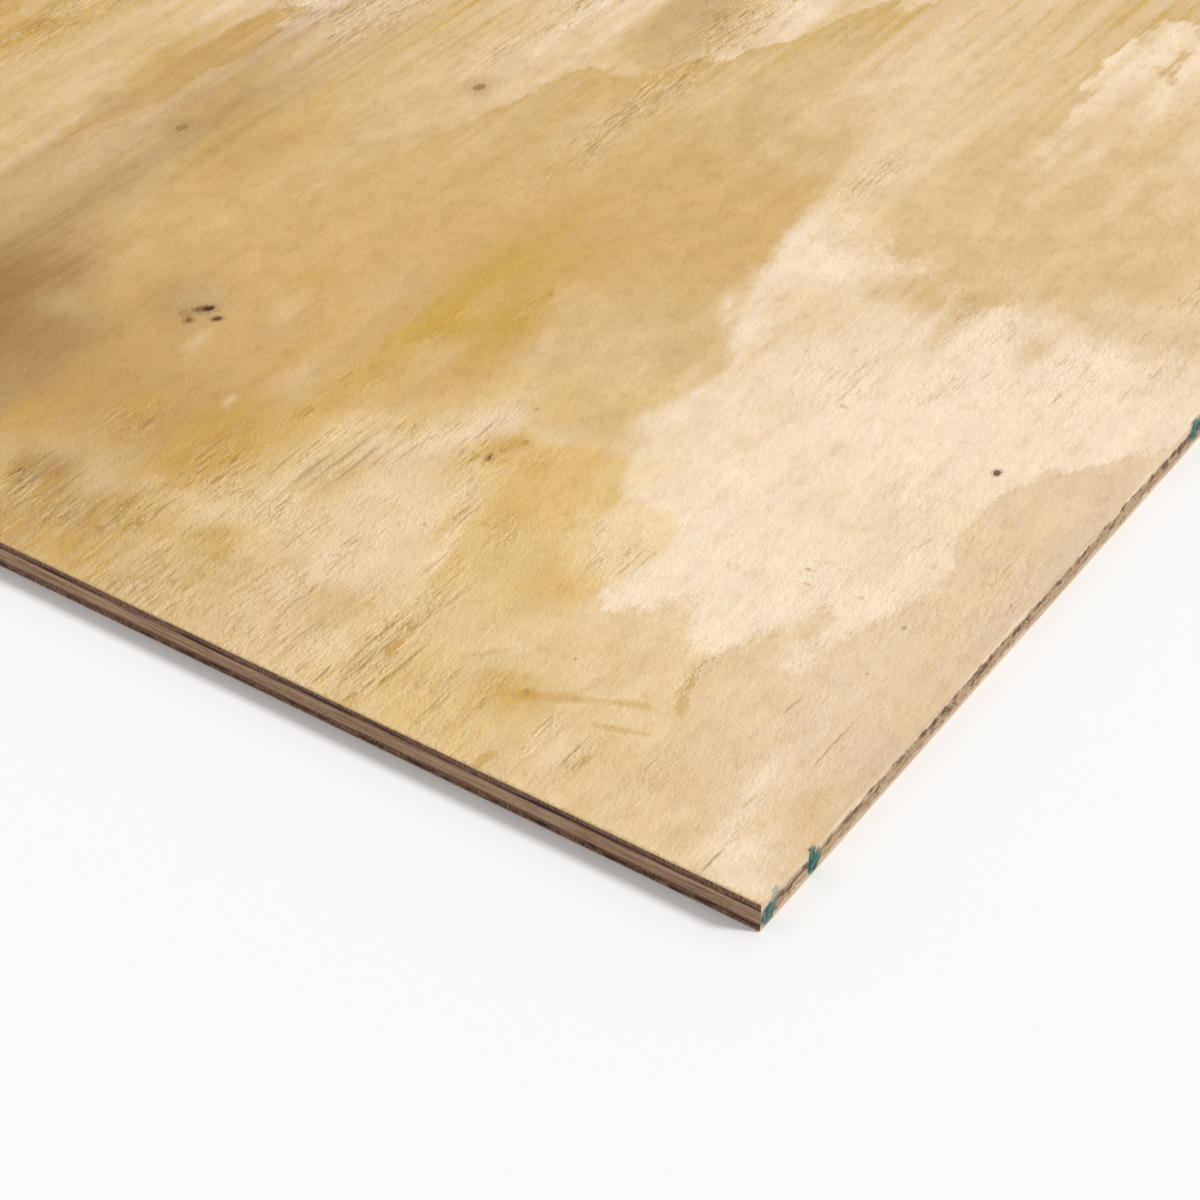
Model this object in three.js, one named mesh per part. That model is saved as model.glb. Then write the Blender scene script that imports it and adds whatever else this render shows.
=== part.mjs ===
// Softwood plywood sheet: four rotary-cut veneers, glued face to face and sawn square.
//
// Millimetres, +Z up. X runs across the sheet and Y along it, with the grain of the two
// outer veneers; the grain of the two core veneers runs along X. The sheet lies flat, and
// the origin is at the middle of its underside.

import * as THREE from 'three';

// ---- Driving dimensions -------------------------------------------------------------

const SHEET_WIDTH = 1219; // 4 ft, across the face grain
const SHEET_LENGTH = 2438; // 8 ft, along the face grain

const FACE_VENEER_THICKNESS = 3.3;
const UPPER_CORE_THICKNESS = 2.65;
const LOWER_CORE_THICKNESS = 2.65;
const BACK_VENEER_THICKNESS = 3.3;

const CORNER_RADIUS = 0.8; // handling wear on the four upright corners
const FACE_ARRIS_RADIUS = 0.45; // sanding wear round the edge of the face
const BACK_ARRIS_RADIUS = 0.3; // the back is left as the saw made it, barely rubbed

const CORNER_STEPS = 6; // facets in each upright corner
const ARRIS_STEPS = 4; // facets in each worn arris
const SHARP_CORNER = 0.05; // radius left where an arris has used a corner up

// ---- Finishes -----------------------------------------------------------------------

const FACE_WOOD = { color: '#e3c79c', roughness: 0.62, metalness: 0 };
const CORE_WOOD = { color: '#a88c6c', roughness: 0.8, metalness: 0 };
const BACK_WOOD = { color: '#cfae7f', roughness: 0.72, metalness: 0 };

// ---- Outline of the sheet -----------------------------------------------------------

// A quarter turn, from 0 to 1, in equal angles: used for the corners and for the arrises.
function quarterTurn(steps) {
  return Array.from({ length: steps + 1 }, (_, step) => (step / steps) * (Math.PI / 2));
}

// The sheet's outline seen from above, counter-clockwise, drawn in by `inset` all round.
// Every ring has the same number of points, so that rings can be joined one to the next.
function outlineRing(inset, z) {
  const radius = Math.max(CORNER_RADIUS - inset, SHARP_CORNER);
  const reachX = SHEET_WIDTH / 2 - inset - radius;
  const reachY = SHEET_LENGTH / 2 - inset - radius;
  const corners = [
    { x: reachX, y: reachY, start: 0 },
    { x: -reachX, y: reachY, start: Math.PI / 2 },
    { x: -reachX, y: -reachY, start: Math.PI },
    { x: reachX, y: -reachY, start: (3 * Math.PI) / 2 },
  ];
  return corners.flatMap(({ x, y, start }) =>
    quarterTurn(CORNER_STEPS).map(
      (turn) =>
        new THREE.Vector3(
          x + radius * Math.cos(start + turn),
          y + radius * Math.sin(start + turn),
          z,
        ),
    ),
  );
}

// ---- Veneers ------------------------------------------------------------------------

// Rings that carry the outline round a worn arris. `flat` is the height of the broad face
// that the arris leads to, and `inward` is +1 where the veneer's wood lies above that face
// and -1 where it lies below. They run from the broad face out to the sawn edge.
function arrisRings(flat, inward, radius) {
  if (radius === 0) return [outlineRing(0, flat)];
  return quarterTurn(ARRIS_STEPS).map((turn) =>
    outlineRing(radius * (1 - Math.sin(turn)), flat + inward * radius * (1 - Math.cos(turn))),
  );
}

// Joins rings, given from the lowest to the highest, into one closed skin with flat ends.
function skin(rings) {
  const count = rings[0].length;
  const positions = rings.flat().flatMap((point) => point.toArray());
  const index = [];
  for (let ring = 0; ring + 1 < rings.length; ring += 1) {
    for (let side = 0; side < count; side += 1) {
      const low = ring * count + side;
      const lowNext = ring * count + ((side + 1) % count);
      index.push(low, lowNext, lowNext + count);
      index.push(low, lowNext + count, low + count);
    }
  }
  const top = (rings.length - 1) * count;
  for (let side = 1; side + 1 < count; side += 1) {
    index.push(0, side + 1, side);
    index.push(top, top + side, top + side + 1);
  }
  const geometry = new THREE.BufferGeometry();
  geometry.setAttribute('position', new THREE.Float32BufferAttribute(positions, 3));
  geometry.setIndex(index);
  geometry.computeVertexNormals();
  return geometry;
}

// One veneer between two heights. An arris radius of 0 leaves a square edge, as on every
// side that is glued to a neighbour.
function veneer({ name, bottom, thickness, lowArris = 0, highArris = 0, wood }) {
  const low = arrisRings(bottom, 1, lowArris);
  const high = arrisRings(bottom + thickness, -1, highArris).reverse();
  const mesh = new THREE.Mesh(skin([...low, ...high]), new THREE.MeshStandardMaterial(wood));
  mesh.name = name;
  return mesh;
}

// ---- The sheet ----------------------------------------------------------------------

// From the underside up. Each veneer is glued to the one below it, over its whole area.
const LAY_UP = [
  {
    name: 'back_veneer',
    thickness: BACK_VENEER_THICKNESS,
    lowArris: BACK_ARRIS_RADIUS,
    wood: BACK_WOOD,
  },
  { name: 'core_veneer_lower', thickness: LOWER_CORE_THICKNESS, wood: CORE_WOOD },
  { name: 'core_veneer_upper', thickness: UPPER_CORE_THICKNESS, wood: CORE_WOOD },
  {
    name: 'face_veneer',
    thickness: FACE_VENEER_THICKNESS,
    highArris: FACE_ARRIS_RADIUS,
    wood: FACE_WOOD,
  },
];

const sheet = new THREE.Group();
let bottom = 0;
for (const ply of LAY_UP) {
  sheet.add(veneer({ ...ply, bottom }));
  bottom += ply.thickness;
}

export default sheet;
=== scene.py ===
"""Plywood sheet: the finish of a four-ply softwood sheet, built round its packed veneers."""

import math

import bpy
import numpy as np
from bpy.props import FloatProperty, FloatVectorProperty, PointerProperty
from mathutils import Matrix, Vector


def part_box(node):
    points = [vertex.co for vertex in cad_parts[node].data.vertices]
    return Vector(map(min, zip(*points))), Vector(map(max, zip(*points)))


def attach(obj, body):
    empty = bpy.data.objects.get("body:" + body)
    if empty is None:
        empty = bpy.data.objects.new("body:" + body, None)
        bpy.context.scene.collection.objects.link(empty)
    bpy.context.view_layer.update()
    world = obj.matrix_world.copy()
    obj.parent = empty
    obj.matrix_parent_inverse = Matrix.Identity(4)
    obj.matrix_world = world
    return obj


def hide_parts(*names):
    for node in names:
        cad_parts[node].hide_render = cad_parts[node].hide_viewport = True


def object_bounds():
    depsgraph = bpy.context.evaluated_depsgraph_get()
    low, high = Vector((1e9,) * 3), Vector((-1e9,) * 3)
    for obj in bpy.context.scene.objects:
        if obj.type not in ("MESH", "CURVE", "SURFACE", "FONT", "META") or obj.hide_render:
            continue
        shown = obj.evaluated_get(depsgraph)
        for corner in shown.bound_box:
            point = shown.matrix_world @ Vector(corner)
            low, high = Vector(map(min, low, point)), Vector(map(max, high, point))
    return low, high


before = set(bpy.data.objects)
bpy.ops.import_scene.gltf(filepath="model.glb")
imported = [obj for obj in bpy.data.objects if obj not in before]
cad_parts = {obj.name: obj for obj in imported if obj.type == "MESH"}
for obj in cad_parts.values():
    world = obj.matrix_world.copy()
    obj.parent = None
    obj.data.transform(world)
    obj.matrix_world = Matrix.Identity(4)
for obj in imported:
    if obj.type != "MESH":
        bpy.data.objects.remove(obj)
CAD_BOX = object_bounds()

bl_info = {
    "name": "Plywood Sheet",
    "version": (1, 0, 0),
    "blender": (4, 5, 0),
    "location": "View3D > Sidebar > Plywood",
    "description": "Builds the wood finish of a four-ply softwood plywood sheet",
    "category": "Object",
}

MM = 0.001
FACE, UPPER_CORE, LOWER_CORE, BACK = (
    "face_veneer",
    "core_veneer_upper",
    "core_veneer_lower",
    "back_veneer",
)
VENEER_BOX = {name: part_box(name) for name in (FACE, UPPER_CORE, LOWER_CORE, BACK)}
SHEET_WIDTH = (CAD_BOX[1][0] - CAD_BOX[0][0]) / MM
SHEET_LENGTH = (CAD_BOX[1][1] - CAD_BOX[0][1]) / MM
SHEET_TOP = CAD_BOX[1][2] / MM


# ---- Sizes and colours a user would change ----------------------------------------------


def length(name, description, default):
    return FloatProperty(
        name=name, description=description, default=default * MM, unit="LENGTH", precision=5
    )


def colour(name, description, red, green, blue):
    return FloatVectorProperty(
        name=name,
        description=description,
        default=(red / 255, green / 255, blue / 255),
        subtype="COLOR_GAMMA",
        min=0,
        max=1,
    )


def angle(name, description, degrees):
    return FloatProperty(
        name=name, description=description, default=math.radians(degrees), subtype="ANGLE"
    )


class PlywoodSizes(bpy.types.PropertyGroup):
    """Lengths of the surface work on the sheet."""

    arris: length("Worn arris", "Radius of the worn edge round the face", 0.45)
    back_arris: length("Back arris", "Radius of the worn edge round the back", 0.3)
    saw_depth: length("Saw marks", "Depth of the marks that the saw left on the edges", 0.12)
    torn_depth: length("Torn grain", "Depth of the torn grain at its roughest", 0.32)
    swell: length("Veneer swell", "Height of the gentle waves in the face", 0.08)
    fine_across: length("Fine step across", "Mesh step across the grain by the near corner", 1.4)
    fine_along: length("Fine step along", "Mesh step along the grain by the near corner", 4.0)
    fibre_length: length("Fibre length", "Longest half length of a raised fibre", 4.5)
    fibre_width: length("Fibre width", "Widest half width of a raised fibre", 0.5)
    fibre_height: length("Fibre height", "Highest half height of a raised fibre", 0.24)


class PlywoodColours(bpy.types.PropertyGroup):
    """Colours of the wood, the glue and the paint, and painted shade for the long arris and the
    torn grain's hollows.
    """

    early: colour("Springwood", "Pale wood between the growth rings", 236, 206, 160)
    cream: colour("Sapwood cream", "Palest wood of the face", 252, 229, 199)
    blush: colour("Blush", "Pinkish wood beside the long edge", 236, 207, 171)
    straw: colour("Straw", "Yellowish wood beside the heart lobe", 242, 212, 160)
    tan: colour("Tan", "Wood of the broad growth rings", 215, 177, 116)
    honey: colour("Honey", "Golden late wood", 204, 162, 68)
    heart: colour("Heart lobe", "Golden lobe in the middle of the figure", 230, 193, 127)
    umber: colour("Umber", "Brown stains in the wood", 158, 118, 66)
    lilac: colour("Lilac", "Faint cool stain on the face", 206, 184, 172)
    olive: colour("Olive", "Greenish shade beside torn fibres", 172, 146, 90)
    fleck: colour("Fleck", "How far small flecks darken the wood", 236, 224, 200)
    # gap is a painted shade for the hollows of the torn grain: its gaps and pits
    gap: colour("Torn gap", "How far the gaps between torn fibres darken the wood", 216, 204, 172)
    # rim is a painted shade: it dulls the long edge's arris where the key lamp lights its rounding
    # most
    rim: colour("Worn rim", "How far wear has dulled the arris of the long edge", 226, 224, 220)
    crack: colour("Crack", "Fine cracks along the grain", 148, 118, 64)
    end_grain: colour("End grain", "Sawn ends of the fibres", 158, 122, 98)
    end_dark: colour("End grain pores", "Darkest lines of the end grain", 98, 68, 54)
    end_black: colour("Blackened wood", "Nearly black streaks in the end grain", 62, 38, 42)
    core: colour("Core side", "Long grain of a core veneer at the edge", 194, 158, 126)
    core_dark: colour("Core streak", "Darker streaks along a core veneer", 152, 116, 92)
    core_pale: colour("Core highlight", "Paler streaks along a core veneer", 218, 186, 150)
    core_end: colour("Core ends", "Sawn ends of a core veneer's fibres", 190, 165, 130)
    core_stain: colour("Core stain", "Dark patches in a core veneer's ends", 88, 60, 58)
    glue: colour("Glue", "Glue line between veneers", 92, 66, 56)
    knot: colour("Pin knot", "Heart of a pin knot", 54, 17, 6)
    bark: colour("Knot rim", "Brown rim round a pin knot", 92, 54, 18)
    resin: colour("Resin", "Resin stain on the face", 204, 158, 78)
    paint: colour("Edge paint", "Teal marking paint on the long edge", 72, 116, 106)
    paint_deep: colour("Deep paint", "Where the edge paint lies thickest", 38, 80, 78)
    paint_smear: colour("Smeared paint", "Thin greyish smear of the edge paint", 124, 146, 136)


class PlywoodStudio(bpy.types.PropertyGroup):
    """Camera and light."""

    azimuth: angle("Azimuth", "Camera's turn round the sheet", 34.42)
    elevation: angle("Elevation", "Camera's angle above the floor", 39.5)
    lens: FloatProperty(
        name="Lens", description="Focal length on 36 mm film, in millimetres", default=87.93
    )
    distance: length("Camera distance", "From the lens to the near corner", 919.0)
    sky: FloatProperty(name="Sky", description="Strength of the even light", default=0.54)
    sun: FloatProperty(name="Key lamp", description="Strength of the key lamp", default=2.18)


def linear(gamma):
    """A colour as it is written, turned into the light that it stands for."""
    return [c / 12.92 if c <= 0.04045 else ((c + 0.055) / 1.055) ** 2.4 for c in gamma]


# ---- Smooth noise -----------------------------------------------------------------------

NOISE_CELLS = 256

# One seed to each use of the noise, so that no two patterns agree.
SAW_RIPPLE, SAW_NICK, TORN_STREAK, FACE_WAVE, BACK_WAVE = 11, 12, 21, 22, 23
TORN_PATCH, WARP_ACROSS, WARP_ALONG, SPLINTER_SWAY = 31, 41, 42, 51


def smooth_part(part):
    """Eases a part of the way from 0 to 1 at both of its ends."""
    return part * part * (3 - 2 * part)


def smooth_noise(a, b, seed):
    """Smooth values from 0 to 1 over two coordinates, about one wave to each unit."""
    table = np.random.default_rng(seed).random((NOISE_CELLS, NOISE_CELLS))
    low_a, low_b = np.floor(a).astype(int), np.floor(b).astype(int)
    part_a, part_b = smooth_part(a - low_a), smooth_part(b - low_b)

    def corner(step_a, step_b):
        return table[(low_a + step_a) % NOISE_CELLS, (low_b + step_b) % NOISE_CELLS]

    near = corner(0, 0) * (1 - part_a) + corner(1, 0) * part_a
    far = corner(0, 1) * (1 - part_a) + corner(1, 1) * part_a
    return near * (1 - part_b) + far * part_b


def smooth_step(low, high, value):
    return smooth_part(np.clip((value - low) / (high - low), 0, 1))


# ---- Figure of the face -----------------------------------------------------------------
# Places on the face are in millimetres from its front right corner: first the distance in
# from the long edge, then the distance in from the front edge. A third number is how softly
# the outline fades there.

CRISP = 1.1  # softness of the clearest lines in the figure

FIGURE = {
    # name: (colour, strength, outline)
    "far_band": ("tan", 0.5, [
        (150, 322, 2.5), (140, 314, 2), (126, 318, 3), (112, 310, 2.5),
        (102, 317, 2.5), (96, 334, 5), (84, 345, 8), (60, 354, 14), (44, 376, 12),
        (44, 430, 12), (74, 500, 20), (130, 520, 25), (172, 440, 8), (168, 352, 4),
    ]),
    "blush_band": ("blush", 1.0, [
        (-30, 290, 4), (48, 290, 4), (48, 180, 4), (56, 120, 20), (50, 60, 25),
        (26, 36, 20), (-30, 30, 20),
    ]),
    "cream_bay": ("cream", 1.0, [
        (216, 350, 10), (200, 270, 4), (185, 225, 4), (180, 190, 8), (168, 160, 4),
        (154, 128, 4), (140, 104, 3), (128, 97, 1.6), (119, 94, 1.6), (111, 98, 1.8),
        (106, 106, 2.5), (100, 114, 3.5), (93, 104, 2.2), (84, 95, 1.6),
        (76, 96, 1.6), (70, 107, 2), (66, 120, 3), (58, 135, 3),
        (53, 132, 3), (55, 112, 3.5), (50, 106, 4), (45, 120, 3),
        (41, 136, 2), (36, 150, 1.6), (33, 166, 2), (34, 182, 1.6),
        (39, 194, 1.6), (41, 208, 1.6), (39, 224, CRISP), (35, 238, CRISP),
        (35, 254, 1.6), (26, 254, CRISP), (19, 264, CRISP), (13, 276, CRISP),
        (-2, 287, 2), (-25, 294, 3), (-25, 335, 15), (12, 352, 20), (40, 352, 14),
        (76, 344, 10), (94, 334, 5), (110, 330, 6), (150, 340, 8),
    ]),
    "pale_bay": ("early", 1.0, [
        (232, 130, 4), (218, 122, 4), (203, 114, 4), (192, 101, 4), (186, 82, 5),
        (180, 60, 7), (177, 30, 9), (186, 0, 12), (232, -4, 20), (250, 28, 14),
        (262, 62, 12), (252, 92, 7), (240, 108, 5),
    ]),
    "upper_band": ("tan", 1.0, [
        (205, 400, 6), (195, 325, 5), (188, 290, 4), (178, 266, 3),
        (170, 250, 3), (166, 236, 3), (168, 220, 4), (173, 204, 5),
        (176, 190, 8), (166, 180, 9), (172, 172, 8), (200, 168, 8), (220, 176, 6),
        (230, 186, 5), (238, 150, 12), (262, 118, 12), (272, 92, 12), (294, 60, 16),
        (330, 50, 20), (400, 50, 25), (520, 60, 40), (560, 300, 60), (470, 470, 60),
        (330, 540, 60), (225, 490, 20),
    ]),
    "honey_streak": ("honey", 0.7, [
        (262, 240, 12), (262, 180, 7), (268, 130, 9), (280, 108, 10), (286, 150, 6),
        (284, 200, 7), (292, 250, 12), (276, 300, 20),
    ]),
    "honey_patch": ("honey", 0.55, [
        (244, 250, 10), (240, 210, 6), (248, 196, 8), (262, 200, 8), (264, 250, 10),
        (252, 290, 16),
    ]),
    "umber_corner": ("umber", 0.4, [
        (292, 112, 14), (300, 66, 16), (340, 50, 18), (372, 30, 16), (440, 40, 24),
        (450, 110, 24), (400, 128, 20), (340, 124, 18),
    ]),
    "heart_lobe": ("heart", 1.0, [
        (215, 150, 3), (208, 158, 3), (198, 160, 3), (189, 165, 1.8), (178, 169, 2),
        (168, 169, 2.5), (162, 164, 2), (158, 156, 1.4), (153, 148, CRISP),
        (152, 136, CRISP), (150, 126, CRISP), (145, 118, CRISP), (137, 111, 1.4),
        (131, 104, 2), (129, 96, 3), (132, 86, 5), (141, 74, 10), (154, 54, 16),
        (168, 46, 16), (179, 62, 5), (183, 82, 3), (190, 98, 3), (202, 112, 3),
        (213, 122, 3), (218, 134, 3),
    ]),
    "pale_lobe": ("straw", 0.8, [
        (156, 149, 3), (142, 148, 3), (130, 145, 2), (123, 138, 2), (121, 129, 2),
        (124, 117, 3), (130, 104, 4), (140, 100, 5), (152, 112, 5), (158, 130, 5),
    ]),
}

# Soft colour laid over the figure: colour, place, half width, half length, turn and strength.
DABS = [
    # The first ten rows lay a long soft brown band far in from the long edge, darkest round (436,
    # 114).
    ("umber", 474, 330, 9, 230, 0, 0.45),
    ("umber", 496, 210, 7, 170, 0, 0.35),
    ("umber", 452, 230, 8, 150, 0, 0.5),
    ("umber", 436, 290, 4, 110, 0, 0.3),
    ("umber", 458, 30, 12, 110, 0, 0.55),
    ("umber", 484, 60, 5, 130, 0, 0.35),
    ("umber", 436, 114, 27, 48, 0, 0.95),
    ("umber", 424, 84, 24, 22, 0, 0.7),
    ("umber", 384, 66, 16, 24, 0, 0.35),
    ("umber", 388, 112, 14, 24, 0, 0.3),
    ("honey", 303, 97, 12, 15, 0, 0.75),
    ("honey", 296, 70, 14, 14, 0, 0.35),
    ("honey", 336, 90, 8, 16, 0, 0.45),
    ("honey", 366, 66, 14, 10, 0, 0.35),
    ("honey", 277, 160, 6, 50, 0, 0.75),
    ("honey", 310, 150, 3.5, 28, 0, 0.3),
    ("honey", 384, 152, 6, 12, 0, 0.25),
    ("blush", 298, 138, 6, 16, 0, 0.35),
    ("cream", 310.8, 113.5, 1.8, 3.0, 20, 0.42),
    ("early", 346, 142, 3.5, 12, 20, 0.45),
    ("early", 331, 171, 5, 13, 25, 0.4),
    ("early", 404, 124, 11, 9, 0, 0.3),
    ("honey", 335, 198, 9, 6, 30, 0.4),
    ("blush", 306, 206, 8, 12, 0, 0.2),
    ("honey", 271, 208, 6, 30, 0, 0.95),
    ("honey", 283, 196, 6, 24, 0, 0.5),
    ("honey", 252, 215, 7, 9, 0, 0.6),
    ("honey", 252, 243, 2.4, 6, 0, 0.5),
    ("honey", 246, 202, 16, 26, 0, 0.25),
    ("honey", 262, 164, 8, 30, 0, 0.3),
    ("early", 231, 205, 2.6, 14, 14, 0.55),
    ("early", 236, 250, 6, 14, 0, 0.2),
    ("cream", 247, 122, 9, 18, 0, 0.8),
    ("cream", 262, 108, 5, 22, 0, 0.7),
    ("olive", 250, 104, 8, 14, 0, 0.25),
    ("cream", 221, 158, 7, 20, 0, 0.75),
    ("cream", 236, 140, 10, 10, 0, 0.5),
    ("tan", 216, 133, 6, 12, 0, 0.6),
    ("cream", 277, 56, 9, 10, 0, 0.5),
    ("cream", 256, 78, 8, 8, 0, 0.45),
    ("honey", 262, 72, 10, 10, 0, 0.12),
    ("lilac", 313, 47, 4.5, 4, 0, 0.6),
    ("lilac", 342, 51, 14, 6, 0, 0.35),
    ("tan", 306, 34, 16, 18, 0, 0.75),
    ("honey", 306, 34, 14, 14, 0, 0.3),
    ("olive", 340, 30, 16, 12, 0, 0.4),
    ("olive", 290, 34, 4, 8, 0, 0.3),
    ("tan", 250, 24, 46, 26, 0, 0.55),
    ("tan", 212, 34, 24, 16, 0, 0.4),
    ("honey", 253, 34, 3.5, 8, 0, 0.35),
    ("honey", 276, 37, 7, 6, 0, 0.3),
    ("tan", 196, 30, 18, 20, 0, 0.3),
    ("straw", 198, 112, 6, 22, 22, 0.75),
    ("straw", 186, 80, 5, 24, 10, 0.7),
    ("straw", 178, 40, 10, 44, 0, 0.6),
    ("honey", 172, 26, 11, 26, 0, 0.3),
    ("straw", 290, 70, 14, 22, 0, 0.4),
    ("honey", 190, 148, 10, 8, 0, 0.45),
    ("honey", 171, 160, 9, 8, 0, 0.25),
    ("honey", 178, 118, 9, 18, 8, 0.4),
    ("honey", 150, 94, 12, 14, 0, 0.25),
    ("honey", 162, 82, 8, 16, 0, 0.3),
    ("cream", 196, 112, 3, 18, 20, 0.5),
    ("cream", 186, 84, 2.4, 14, 14, 0.4),
    ("olive", 176, 30, 6, 26, 0, 0.25),
    ("heart", 146, 26, 16, 18, 0, 0.55),
    ("heart", 100, 60, 40, 30, 0, 0.2),
    ("tan", 62, 31, 24, 12, 0, 0.35),
    ("tan", 112, 9, 46, 13, 0, 0.35),
    ("tan", 300, 6, 60, 17, 0, 0.45),
    ("tan", 336, 8, 12, 16, 0, 0.35),
    ("early", 208, 214, 26, 48, 0, 0.5),
    ("tan", 330, 22, 26, 44, 0, 0.45),
    ("honey", 336, 12, 18, 24, 0, 0.3),
    ("tan", 290, 62, 13, 64, 0, 0.4),
    ("straw", 262, 100, 18, 40, 0, 0.6),
    ("heart", 130, 16, 36, 28, 0, 0.35),
    ("cream", 29, 106, 9, 60, 0, 0.28),
    ("honey", 362, 168, 26, 18, 0, 0.22),
    ("early", 272, 160, 12, 26, 0, 0.25),
    ("cream", 96, 20, 9, 11, 0, 0.3),
    ("cream", 15, 10, 10, 12, 0, 0.8),
    ("cream", 29, 36, 4.5, 23, 13, 0.75),
    ("lilac", 5, 80, 6, 12, 0, 0.3),
    ("lilac", 4, 190, 4, 60, 0, 0.2),
    ("tan", 28, 140, 14, 40, 0, 0.12),
    ("heart", 184, 206, 8, 16, 0, 0.5),
    ("cream", 186.5, 271, 2.4, 10, 24, 0.38),
    ("cream", 179, 255, 2.2, 7, 34, 0.32),
    ("early", 165, 288, 20, 18, 0, 0.55),
    ("early", 172, 205, 6, 20, 0, 0.4),
    ("tan", 126, 324, 18, 12, 0, 0.4),
    ("tan", 107, 310, 5, 24, 0, 0.45),
    ("tan", 75, 322, 7, 16, 0, 0.5),
    ("tan", 50, 352, 34, 12, 0, 0.45),
    ("tan", 134, 203, 5, 5, 0, 0.35),
    ("tan", 102, 217, 6, 5, 0, 0.3),
    ("early", 140, 230, 14, 30, 0, 0.25),
    ("early", 84, 190, 30, 22, 0, 0.25),
    ("early", 132, 245, 10, 26, 0, 0.3),
    ("tan", 338, 34, 26, 34, 0, 0.4),
    ("honey", 350, 42, 20, 20, 0, 0.25),
    ("tan", 308, 16, 18, 20, 0, 0.35),
    ("honey", 292, 60, 13, 62, 0, 0.3),
    ("honey", 270, 100, 10, 36, 0, 0.3),
    ("heart", 250, 108, 12, 28, 0, 0.3),
    ("heart", 231, 160, 8, 18, 0, 0.3),
    ("heart", 130, 18, 28, 20, 0, 0.3),
    ("straw", 148, 172, 12, 16, 0, 0.45),
    ("tan", 140, 292, 32, 26, 0, 0.28),
    ("blush", 12, 330, 14, 16, 0, 0.45),
    ("tan", 386, 150, 12, 14, 0, 0.3),
    ("early", 190, 212, 8, 24, 0, 0.35),
    ("umber", 340, 38, 12, 11, 0, 0.32),
    ("umber", 328, 12, 12, 18, 0, 0.28),
    ("umber", 310, 38, 8, 9, 0, 0.22),
    ("honey", 370, 56, 14, 8, 0, 0.3),
    ("honey", 299, 80, 10, 16, 0, 0.5),
    ("honey", 284, 90, 8, 14, 0, 0.45),
    ("honey", 288, 110, 12, 14, 0, 0.3),
    ("honey", 276, 168, 5, 34, 0, 0.35),
    ("honey", 269, 198, 4, 12, 0, 0.4),
    ("honey", 318, 84, 6, 14, 0, 0.3),
    ("umber", 368, 156, 18, 20, 0, 0.28),
    ("umber", 400, 104, 20, 20, 0, 0.3),
    ("lilac", 364, 164, 14, 14, 0, 0.15),
    ("honey", 249, 200, 7, 24, 0, 0.35),
    ("early", 246, 250, 9, 12, 0, 0.35),
    ("early", 231, 206, 4, 16, 0, 0.3),
    ("heart", 243, 142, 7, 13, 0, 0.7),
    ("honey", 243, 142, 5, 10, 0, 0.3),
    ("heart", 228, 176, 6, 14, 0, 0.7),
    ("heart", 206, 186, 14, 18, 0, 0.45),
    ("heart", 206, 150, 10, 12, 0, 0.6),
    ("honey", 206, 150, 6, 8, 0, 0.5),
    ("umber", 205, 152, 4, 5, 0, 0.3),
    ("cream", 215, 162, 4, 7, 0, 0.5),
    ("cream", 172, 232, 6, 18, 0, 0.3),
    ("tan", 162, 258, 8, 18, 0, 0.3),
    ("early", 165, 155, 6, 8, 0, 0.4),
    ("early", 161, 74, 11, 20, 0, 0.5),
    ("straw", 168, 104, 16, 16, 0, 0.35),
    ("cream", 212, 86, 18, 32, 0, 0.25),
    ("cream", 214, 24, 20, 14, 0, 0.25),
    ("cream", 189, 28, 6, 14, 0, 0.3),
    ("honey", 262, 42, 11, 10, 0, 0.45),
    ("honey", 300, 9, 14, 10, 0, 0.4),
    ("honey", 241, 102, 4, 18, 0, 0.45),
    ("honey", 195, 104, 3, 14, 12, 0.4),
    ("honey", 182, 82, 3.5, 14, 6, 0.45),
    ("honey", 123, 38, 15, 12, 0, 0.5),
    ("tan", 120, 74, 14, 12, 0, 0.25),
    ("tan", 136, 328, 14, 9, 0, 0.5),
    ("tan", 120, 322, 10, 12, 0, 0.4),
    ("tan", 104, 320, 5, 16, 0, 0.3),
    ("tan", 76, 312, 4, 12, 0, 0.3),
    ("cream", 125, 266, 16, 26, 0, 0.35),
    ("cream", 16, 10, 9, 8, 0, 0.3),
    ("tan", 5, 40, 8, 14, 0, 0.35),
    ("tan", 2, 90, 4, 40, 0, 0.2),
    ("heart", 156, 198, 5, 18, 0, 0.35),
    ("straw", 155, 164, 5, 9, 0, 0.5),
    ("heart", 155, 139, 3, 10, 0, 0.45),
    ("early", 190, 279, 6, 16, 0, 0.45),
    ("cream", 204, 127, 4, 9, 16, 0.35),
    ("straw", 178, 18, 7, 18, 0, 0.5),
    ("olive", 252.5, 112, 1.6, 20, 0, 0.4),
    ("olive", 246, 108, 1.6, 20, 0, 0.4),
    ("olive", 257.5, 100, 1.6, 14, 0, 0.35),
    ("cream", 249.5, 112, 1.6, 18, 0, 0.3),
    ("tan", 48, 8, 14, 6, 0, 0.25),
    ("umber", 300, 68, 6, 10, 0, 0.3),
    ("umber", 297, 92, 7, 9, 0, 0.2),
    ("umber", 339, 42, 11, 12, 0, 0.22),
    ("umber", 322, 158, 10, 14, 0, 0.16),
    ("umber", 372, 148, 12, 12, 0, 0.14),
    ("honey", 360, 84, 10, 14, 0, 0.25),
    ("honey", 249, 99, 3, 9, 0, 0.35),
    ("honey", 200, 44, 9, 22, 0, 0.16),
    ("tan", 200, 34, 9, 16, 0, 0.2),
    ("honey", 160, 24, 8, 14, 0, 0.18),
    ("honey", 122, 40, 9, 8, 0, 0.25),
    ("honey", 170, 97, 6, 12, 0, 0.2),
    ("honey", 196, 106, 3, 10, 12, 0.2),
    ("heart", 206, 142, 8, 7, 0, 0.4),
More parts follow.
